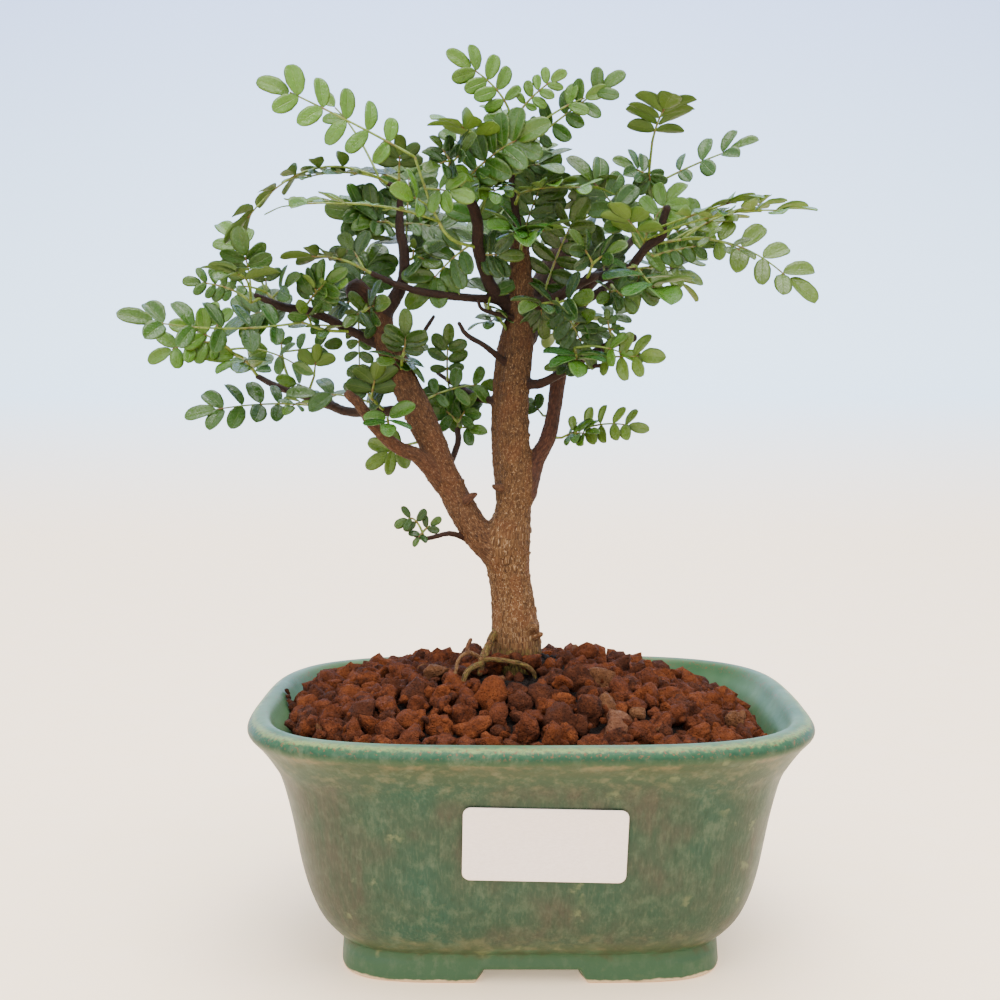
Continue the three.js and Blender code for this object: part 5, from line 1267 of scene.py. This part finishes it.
def scattered_lumps(rng):
    """Place, radius, height over the heap's surface and kind of every loose lump."""
    keep_out = [TRUNK_ROOM] + [(x, y, BARE_ROOM) for x, y in ROOT_HOLLOW + ROOT_BALL]
    keep_out += [(x, y, r * 0.6) for x, y, r, _, _ in SPECIAL_LUMPS]
    large_radii = 2 + 2.2 * rng.uniform(0, 1, LARGE_COUNT) ** 1.3
    large = scatter(rng, large_radii, 0.86, 1.4, keep_out)
    small = scatter(rng, rng.uniform(0.9, 1.9, SMALL_COUNT), 0.8, 1.2, keep_out)
    fill = scatter(rng, rng.uniform(2.0, 3.2, FILL_COUNT), 0.9, 1.0, keep_out)
    lumps = [(x, y, r, -0.8 * r, None) for x, y, r in large]
    lumps += [(x, y, r, -0.9 * r - 0.5, None) for x, y, r in small]
    # painted shade: the fill lumps take the dark kind so that the gaps between lumps look dark
    lumps += [(x, y, r, -5 - 0.3 * r, DARK_KIND) for x, y, r in fill]
    return lumps + [(x, y, r, lift, kind) for x, y, r, kind, lift in SPECIAL_LUMPS]


def make_granules():
    rng = np.random.default_rng(11)
    fine_ball, fine_faces = crumb_directions(3)
    small_ball, small_faces = crumb_directions(2)
    shares = [share for _, _, share, *_ in LUMP_KINDS]
    kinds = [Parts() for _ in LUMP_KINDS]
    for x, y, radius, lift, kind in scattered_lumps(rng):
        height, _ = soil_height(np.array([x]), np.array([y]))
        middle = np.array([x, y, height[0] + lift + rng.uniform(-0.5, 0.5)])
        if kind is None:
            kind = int(rng.choice(len(LUMP_KINDS), p=shares))
        fine = radius > 2.4 and y < 8 and lift > -0.85 * radius  # large, in front and on top
        ball, faces = (fine_ball, fine_faces) if fine else (small_ball, small_faces)
        points = kept_inside(make_lump(rng, ball, radius) + middle)
        kinds[kind].add(points, faces, (rng.uniform(), 0, 0))
    for *middle, radius in CRUMBS:
        points = kept_inside(make_lump(rng, small_ball, radius) + middle)
        kinds[DARK_KIND].add(points, small_faces, (0.5, 0, 0))
    for parts, (name, material, _, *tones) in zip(kinds, LUMP_KINDS):
        make_loose_piece(name, parts, granule_material(material, *tones))


def make_loose_piece(name, parts, material):
    """A piece of the loose granules, with the tones that its rows hold."""
    points, faces, rows, _ = parts.joined()
    made = make_piece(name, points, faces, [material], ["soil_granules"])
    keep_vectors(made, "tone", rows)


def make_wet_crumbs(material):
    """Small wet crumbs over the bare ground round the roots."""
    rng = np.random.default_rng(23)
    ball, ball_faces = crumb_directions(2)
    parts = Parts()
    for x, y in (ROOT_HOLLOW + ROOT_BALL) * WET_COUNT:
        x, y = (x, y) + rng.normal(0, 1.9, 2)
        height = bed_height(np.array([x]), np.array([y]))[0]
        middle = (x, y, height + rng.uniform(-0.1, 0.3))
        lump = make_lump(rng, ball, rng.uniform(0.4, 0.9))
        parts.add(lump + middle, ball_faces, (rng.uniform(), 0, 0))
    make_loose_piece("wet_crumbs", parts, material)


def make_straw(material):
    path = smooth_path([(*point, STRAW_RADIUS) for point in STRAW], 5)
    parts = Parts()
    parts.add(*tube(path[:, :3], path[:, 3], 8), (0, 0, 0))
    make_loose_piece("straw", parts, material)


def make_soil_bed(material):
    """The closed dark bed that fills the pot under the loose lumps."""
    angles = ring_angles(CORNER_LOW, 120)
    rings = []
    for share in np.linspace(0.02, 1, 46):
        half = BED_HALF_WIDTH * share
        exponent = 2 + (corner_exponent(SOIL_RIM) - 2) * share
        x, y = superellipse(half, half - POT_NARROWING * share, angles, exponent)
        height, _ = soil_height(x, y)
        uneven = 0.6 * value_noise(np.column_stack([x, y, height]) / 1.6, 8)
        rings.append(np.column_stack([x, y, bed_height(x, y) + uneven]))
    for half, height in BED_SIDES:
        rings.append(pot_ring(half, height, angles, corner_exponent(height)))
    count = len(angles)
    faces = [face[::-1] for face in ring_faces(len(rings), count)]
    faces.append(list(range(count)))
    faces.append([(len(rings) - 1) * count + j for j in range(count - 1, -1, -1)])
    parts = Parts()
    parts.add(np.vstack(rings), faces, (0, 0, 0))
    make_loose_piece("soil_bed", parts, material)


# Wood

CURVES = {name: smooth_path(stations, 4) for name, (_, stations) in LIMBS.items()}


def limb_distance(points, curve):
    """Distance from a limb's bark, with place along it, thickness and direction aside."""
    start, end = curve[:-1, :3], curve[1:, :3]
    run = end - start
    length = np.linalg.norm(run, axis=1)
    begun = np.concatenate([[0], np.cumsum(length)[:-1]])
    offset = points[:, None] - start
    share = np.clip((offset * run).sum(2) / length**2, 0, 1)
    out = offset - share[..., None] * run
    away = np.linalg.norm(out, axis=2)
    radius = curve[:-1, 3] + share * (curve[1:, 3] - curve[:-1, 3])
    pick = (away - radius).argmin(1)
    row = np.arange(len(points))
    along = begun[pick] + share[row, pick] * length[pick]
    _, side, across = path_frames(curve[:, :3])
    way = unit(out[row, pick])
    aside = np.column_stack([(way * side[pick]).sum(1), (way * across[pick]).sum(1)])
    return (away - radius)[row, pick], along, radius[row, pick], aside


def wood_field(points):
    """Distance from the joined wood, each point's grain coordinates and its nearest limb."""
    distance = np.full(len(points), 1e3)
    nearest = np.full(len(points), 1e3)
    grain = np.zeros((len(points), 3))
    girth = np.zeros(len(points))
    limb = np.zeros(len(points), int)
    for index, curve in enumerate(CURVES.values()):
        margin = curve[:, 3].max() + 4
        low, high = curve[:, :3].min(0) - margin, curve[:, :3].max(0) + margin
        near = np.nonzero(((points > low) & (points < high)).all(1))[0]
        if len(near) == 0:
            continue
        own, along, radius, aside = limb_distance(points[near], curve)
        blend = np.clip(0.8 * radius, 0.4, 2.0)
        overlap = np.clip(blend - np.abs(distance[near] - own), 0, None) / blend
        closer = own < nearest[near]
        changed = near[closer]
        nearest[changed] = own[closer]
        limb[changed] = index
        girth[changed] = radius[closer]
        around = aside[closer] * radius[closer, None]
        grain[changed] = np.column_stack([around, along[closer] + GRAIN_STEP * index])
        distance[near] = np.minimum(distance[near], own) - overlap**2 * blend / 4
    return distance, grain, girth, limb


def remeshed(points, faces, voxel):
    """The one skin round overlapping closed meshes."""
    mesh = bpy.data.meshes.new("wood_tubes")
    mesh.from_pydata((points * MM).tolist(), [], faces)
    rough = add_object("wood_tubes", mesh)
    change = rough.modifiers.new("skin", "REMESH")
    change.mode = "VOXEL"
    change.voxel_size = voxel * MM
    shown = rough.evaluated_get(bpy.context.evaluated_depsgraph_get())
    skin = bpy.data.meshes.new_from_object(shown)
    bpy.data.objects.remove(rough)
    return skin


def vertex_rows(mesh, name):
    """Each vertex's place or normal."""
    flat = np.zeros(len(mesh.vertices) * 3, np.float32)
    mesh.vertices.foreach_get(name, flat)
    return flat.reshape(-1, 3).astype(float)


def put_points(mesh, points):
    mesh.vertices.foreach_set("co", (points * MM).astype(np.float32).ravel())
    mesh.update()


def bark_relief(points, grain, girth, youth):
    """Height of the bark over the wood: long fissures, plates between them and small warts."""
    worn = (1 - youth) * np.clip(girth / 4.5, 0.25, 1)
    split = value_noise(grain * (1.1, 1.1, 0.35), 21)
    split = split + 0.5 * value_noise(grain * (2.0, 2.0, 0.6), 22)
    fissures = -np.clip(1 - np.abs(split) / 0.28, 0, 1) ** 1.5
    plates = value_noise(grain * (0.28, 0.28, 0.12), 23)
    warts = np.clip(value_noise(grain * (1.15, 1.15, 0.9), 24) - 0.45, 0, 1)
    fine = value_noise(grain * (2.2, 2.2, 1.1), 25)
    swell = value_noise(points / 7.0, 26)
    relief = worn * (0.16 * fissures + 0.16 * plates + 0.5 * warts + 0.14 * fine)
    relief = relief + 0.09 * fine + 0.38 * warts * np.clip(girth / 2, 0.2, 1)
    return relief + 0.11 * np.clip(girth, 0, 4) * swell * 0.6


def wood_skin():
    """One mesh round all limbs, drawn to their joined surface."""
    tubes = Parts()
    for curve in CURVES.values():
        points, faces = tube(curve[:, :3], curve[:, 3], 12)
        tubes.add(points, faces, (0, 0, 0))
    points, faces, _, _ = tubes.joined()
    mesh = remeshed(points, faces, SKIN_VOXEL)
    for _ in range(3):
        points = vertex_rows(mesh, "co") / MM
        distance, _, _, _ = wood_field(points)
        away = np.clip(distance, -0.5, 0.5)[:, None]
        put_points(mesh, points - away * vertex_rows(mesh, "normal"))
    return mesh


def add_rings(relief, points, limb, names):
    """Raises rings at the old pruning scars."""
    wobble = points[:, 2] + 0.5 * value_noise(points / 3.5, 31)
    for name, height, strength in RINGS:
        ring = np.exp(-(((wobble - height) / RING_HALF_HEIGHT) ** 2))
        relief += np.where(limb == names.index(name), ring * strength, 0)


def cut_shares(points):
    """How far each point is on a cut end, from 0 to 1."""
    cut = np.zeros(len(points))
    for place, radius in CUT_ENDS:
        away = np.linalg.norm(points - place, axis=1)
        cut = np.maximum(cut, np.clip(1.5 - away / radius, 0, 1))
    return cut


def make_wood(material):
    mesh = wood_skin()
    points = vertex_rows(mesh, "co") / MM
    _, grain, girth, limb = wood_field(points)
    names = list(LIMBS)
    youth = np.array([age for age, _ in LIMBS.values()])[limb]
    cut = cut_shares(points)
    relief = bark_relief(points, grain, girth, youth)
    add_rings(relief, points, limb, names)
    relief -= cut * 0.8
    put_points(mesh, points + relief[:, None] * vertex_rows(mesh, "normal"))
    moss = 0.8 * np.clip((MOSS_TOP - points[:, 2]) / 8, 0, 1)
    for name, share in ROOT_MOSS.items():
        moss = np.where(limb == names.index(name), share, moss)
    mesh.transform(Matrix.Translation(tuple(POT_MIDDLE)))
    made = dress(mesh, "bark", [material], ["tree_wood"])
    keep_vectors(made, "grain", grain)
    keep_vectors(made, "age", np.column_stack([youth, moss, cut]))


# Leaves


def leaflet_faces(grid, below, base, tip):
    """Faces over and under a leaflet's grid of points, joined at its base and its tip."""
    rows, columns = grid.shape
    faces = []
    for i in range(rows - 1):
        for j in range(columns - 1):
            faces.append([grid[i, j], grid[i + 1, j], grid[i + 1, j + 1], grid[i, j + 1]])
            faces.append([below[i, j], below[i, j + 1], below[i + 1, j + 1], below[i + 1, j]])
    for j in range(columns - 1):
        faces.append([base, grid[0, j], grid[0, j + 1]])
        faces.append([base, below[0, j + 1], below[0, j]])
        faces.append([tip, grid[-1, j + 1], grid[-1, j]])
        faces.append([tip, below[-1, j], below[-1, j + 1]])
    return faces


def make_leaflet(rng, size, width):
    """An obovate leaflet along x with a scalloped rim, folded at its midrib and arched."""
    rows, columns = (11, 7) if size > 6 else (8, 5)
    along = (1 - np.cos(np.linspace(0, np.pi, rows + 1)))[1:-1] / 2
    full = along**0.6 * (1 - along) ** 0.45
    notch = 1 - 0.05 * np.abs(np.sin(np.arange(1, rows) * 1.9)) * (along > 0.25)
    half = width / 2 * full / full.max() * notch
    across = np.linspace(-1, 1, columns)
    x = np.repeat(along * size, columns)
    y = np.outer(half, across).ravel() + rng.uniform(-0.06, 0.06) * x * along.repeat(columns)
    u, v = np.tile(across, rows - 1), along.repeat(columns)
    fold = rng.uniform(0.1, 0.42)
    z = fold * np.abs(y) - rng.uniform(0.02, 0.2) * size * v**2
    z += rng.uniform(-0.1, 0.16) * np.abs(u) ** 2 * half.repeat(columns)
    z += 0.05 * size * value_noise(np.column_stack([x, y, x * 0]) / (0.45 * size), rng.integers(99))
    thick = LEAFLET_THICKNESS / 2 * np.sqrt(np.clip(1 - np.abs(u) ** 2, 0, 1))
    grid = np.arange((rows - 1) * columns).reshape(rows - 1, columns)
    inner = grid[:, 1:-1].ravel()
    ends = np.array([[0, 0, 0], [size, 0, z[grid[-1, columns // 2]] - 0.02 * size]])
    upper = np.column_stack([x, y, z + thick])
    lower = np.column_stack([x, y, z - thick])[inner]
    points = np.vstack([upper, lower, ends])
    below = grid.copy()
    below[:, 1:-1] = len(upper) + np.arange(len(inner)).reshape(rows - 1, columns - 2)
    faces = leaflet_faces(grid, below, len(points) - 2, len(points) - 1)
    under = np.concatenate([np.where(np.abs(u) == 1, 0.5, 0), np.ones(len(inner)), [0.5, 0.5]])
    sideways = np.concatenate([u, u[inner], [0, 0]])
    outward = np.concatenate([v, v[inner], [0, 1]])
    return points, faces, np.column_stack([sideways, outward, under])


def leaflet_row(pairs, size, length, start, end, last):
    """Place on the rib, spread and length of each leaflet, the one at the tip last."""
    longest = min(size, length * LEAFLET_SHARE)
    row = []
    for k in range(pairs):
        share = start + (end - start) * (k + 0.75) / pairs - 0.5 / length
        back = (pairs - 1 - k) / (pairs - 1) if pairs > 1 else 0
        spread = math.radians(SPREAD_LAST + (SPREAD_FIRST - SPREAD_LAST) * back)
        row.append((share, spread, longest * (0.8 if k == 0 and pairs > 2 else 1)))
    row.append((end, 0, last))
    return row


class Leaf:
    """One pinnate leaf on its arched rib."""

    def __init__(self, base, tip, via, face):
        self.base, self.tip = base, np.array(tip, float)
        middle = (self.base + self.tip) / 2
        chord = np.linalg.norm(self.tip - self.base)
        over = middle + (0, 0, 0.1 * chord) if via is None else np.array(via, float)
        self.bend = 2 * over - middle
        self.face = np.array(FACES[face], float)
        shares = np.linspace(0, 1, 25)
        points = np.array([self.point(t) for t in shares])
        self.length = np.linalg.norm(np.diff(points, axis=0), axis=1).sum()

    def point(self, t):
        return (1 - t) ** 2 * self.base + 2 * t * (1 - t) * self.bend + t * t * self.tip

    def axes(self, t):
        """Directions along the rib, to its side and out of the leaf's face."""
        ahead = unit(2 * (1 - t) * (self.bend - self.base) + 2 * t * (self.tip - self.bend))
        side = unit(np.cross(self.face, ahead))
        return ahead, side, np.cross(ahead, side)


class Shoot:
    """A shoot's mesh while it grows, with the materials used on it and a tone for each point."""

    def __init__(self, green, stem):
        self.parts, self.tones, self.materials = Parts(), [], [green, stem]

    def add(self, points, faces, rows, tones, material):
        if material not in self.materials:
            self.materials.append(material)
        self.parts.add(points, faces, rows, self.materials.index(material))
        self.tones.append(tones)


def add_leaflet(shoot, green, rng, leaf, share, spread, size, sign, youth):
    ahead, side, out = leaf.axes(min(share, 0.98))
    width = size * LEAFLET_RATIO * rng.uniform(0.88, 1.12)
    points, faces, blade = make_leaflet(rng, size, width)
    spread = spread + rng.uniform(-0.12, 0.12)
    lift = rng.uniform(0.0, 0.34) if sign else rng.uniform(-0.1, 0.2)
    along = unit(math.cos(spread) * ahead + sign * math.sin(spread) * side + lift * out)
    flat = unit(out - (out @ along) * along)
    roll = rng.uniform(-0.3, 0.3) - sign * 0.12
    flat = math.cos(roll) * flat + math.sin(roll) * np.cross(along, flat)
    across = np.cross(flat, along)
    foot = leaf.point(share) + along * RIB_RADIUS * 0.6
    placed = points @ np.array([along, across, flat]) + foot
    shoot.add(placed, faces, blade, np.tile([rng.uniform(), youth, 0], (len(points), 1)), green)


def add_tube(shoot, path, radii, sides, joints=()):
    """A green stem or rib; red shows round its joints."""
    points, faces = tube(path, radii, sides)
    red = np.zeros(len(points))
    for joint in joints:
        away = np.linalg.norm(points - joint, axis=1)
        red = np.maximum(red, np.clip(1.3 - away / 0.8, 0, 1))
    tones = np.column_stack([red * 0, red * 0, red * 0.8])
    shoot.add(points, faces, (0, 0, 0), tones, shoot.materials[1])


def add_leaf(shoot, green, rng, leaf, pairs, size, bare):
    """The rib and the leaflets of one leaf."""
    last = min(size * 1.1, leaf.length * (LEAFLET_SHARE if pairs else 0.95))
    end = 1 - last / leaf.length
    start = max(0, min(bare, end - pairs * LEAST_PITCH / leaf.length))
    row = leaflet_row(pairs, size, leaf.length, start, end, last)
    shares = np.linspace(0, max(end, 0.05), 14)
    rib = np.array([leaf.point(t) for t in shares])
    joints = [leaf.point(t) for t, _, _ in row]
    radii = np.linspace(RIB_RADIUS * 1.25, RIB_RADIUS * 0.75, len(rib))
    add_tube(shoot, rib, radii, 6, joints)
    for t, spread, length in row[:-1]:
        for sign in (-1, 1):
            add_leaflet(shoot, green, rng, leaf, t, spread, length, sign, 0.25 * t)
    add_leaflet(shoot, green, rng, leaf, end, 0, last, 0, 0.3)


def grow_shoot(shoot, limb, share, stem, leaves, rng):
    """The shoot's stem and its own leaves."""
    root = point_along(np.array(LIMBS[limb][1])[:, :3], share)
    path = np.array([root, *stem], float)
    if any(place > 0 for place, *_ in leaves):
        line = smooth_path(path, 6)
        radii = np.linspace(STEM_RADIUS, STEM_RADIUS * 0.7, len(line))
        bases = [point_along(path, place) for place, *_ in leaves]
        add_tube(shoot, line, radii, 8, bases)
    for place, tip, via, pairs, size, face, bare in leaves:
        leaf = Leaf(point_along(path, place), tip, via, face)
        add_leaf(shoot, shoot.materials[0], rng, leaf, pairs, size, bare)


def make_shoots():
    stem = stem_material()
    leafy = {tone: leaf_material("leaf_" + tone, *pair) for tone, pair in GREENS.items()}
    rng = np.random.default_rng(5)
    shoots = {name: Shoot(leafy[tone], stem) for name, tone, *_ in SHOOTS}
    for name, tone, limb, share, stem_points, leaves in SHOOTS:
        grow_shoot(shoots[name], limb, share, stem_points, leaves, rng)
        for home, base, tip, pairs, size, face in SHORT_LEAVES.get(name, ()):
            leaf = Leaf(np.array(base, float), tip, None, face)
            add_leaf(shoots[home], leafy[tone], rng, leaf, pairs, size, SHORT_LEAF_BARE)
    for name, tone, *_ in SHOOTS:
        shoot = shoots[name]
        points, faces, rows, kinds = shoot.parts.joined()
        made = make_piece(name + "_leaves", points, faces, shoot.materials, [name], kinds)
        keep_vectors(made, "blade", rows)
        keep_vectors(made, "tone", np.vstack(shoot.tones))


# Stage


def make_camera():
    data = bpy.data.cameras.new("camera")
    data.lens = CAMERA_LENS
    data.sensor_width = SENSOR_WIDTH
    data.clip_start = 0.01
    camera = add_object("camera", data)
    camera.location = np.array(CAMERA_PLACE) * MM + POT_MIDDLE
    camera.rotation_euler = (math.radians(90 - CAMERA_DOWN), 0, 0)
    bpy.context.scene.camera = camera


def make_light(name, place, aim, size, watts, colour):
    data = bpy.data.lights.new(name, "AREA")
    data.energy = watts
    data.size = size
    data.color = colour
    light = add_object(name, data)
    light.location = place
    light.rotation_euler = (Vector(aim) - Vector(place)).to_track_quat("-Z", "Y").to_euler()


def make_sky():
    world = bpy.data.worlds.new("studio")
    world.use_nodes = True
    sky = world.node_tree.nodes["Background"].inputs
    sky["Color"].default_value = SKY_COLOUR
    sky["Strength"].default_value = SKY_STRENGTH
    bpy.context.scene.world = world


def floor_material():
    """A pale warm floor that turns into a pale blue wall, glowing faintly with painted light."""
    s = Shader("floor")
    mottle = s.noise(s.place(), 60, 4)
    low = s.mix(mottle, (254, 226, 192), (255, 232, 202))
    height = s.split(s.place())[2]
    middle = s.mix(s.range(height, 0.0, 0.14), low, (206, 232, 255))
    colour = s.mix(s.range(height, 0.2, 0.8), middle, (168, 192, 236))
    # The emission makes the floor and wall glow faintly: painted light
    s.set(Base_Color=colour, Roughness=0.8, Emission_Color=colour, Emission_Strength=0.45)
    return s.material


def make_floor():
    turns = np.radians(np.linspace(0, 90, FLOOR_STEPS))
    profile = [(-FLOOR_REACH, 0), (0.6, 0)]
    for a in turns:
        away = FLOOR_FLAT_END + FLOOR_CURVE * math.sin(a)
        profile.append((away, FLOOR_CURVE - FLOOR_CURVE * math.cos(a)))
    profile.append((FLOOR_FLAT_END + FLOOR_CURVE, FLOOR_TOP))
    points = [(x, y, z) for y, z in profile for x in (-FLOOR_REACH, FLOOR_REACH)]
    faces = [(2 * n, 2 * n + 1, 2 * n + 3, 2 * n + 2) for n in range(len(profile) - 1)]
    mesh = bpy.data.meshes.new("floor")
    mesh.from_pydata(points, [], faces)
    mesh.materials.append(floor_material())
    mesh.polygons.foreach_set("use_smooth", np.full(len(faces), True))
    floor = add_object("floor", mesh)


def dress_screens():
    """The drain screens keep their CAD meshes."""
    plastic = plastic_material()
    for name in ("drain_screen_left", "drain_screen_right"):
        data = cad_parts[name].data
        data.materials.clear()
        data.materials.append(plastic)


def main():
    make_camera()
    make_sky()
    for light in LIGHTS:
        make_light(*light)
    make_floor()
    make_pot(glaze_material())
    make_label(paper_material())
    dress_screens()
    make_granules()
    wet = granule_material("wet_soil", (10, 8, 8), (22, 16, 14), (40, 28, 24), 0.65)
    make_soil_bed(wet)
    make_wet_crumbs(wet)
    make_straw(granule_material("dry_straw", (90, 62, 34), (146, 108, 64), (176, 144, 96)))
    make_wood(bark_material())
    make_shoots()


main()
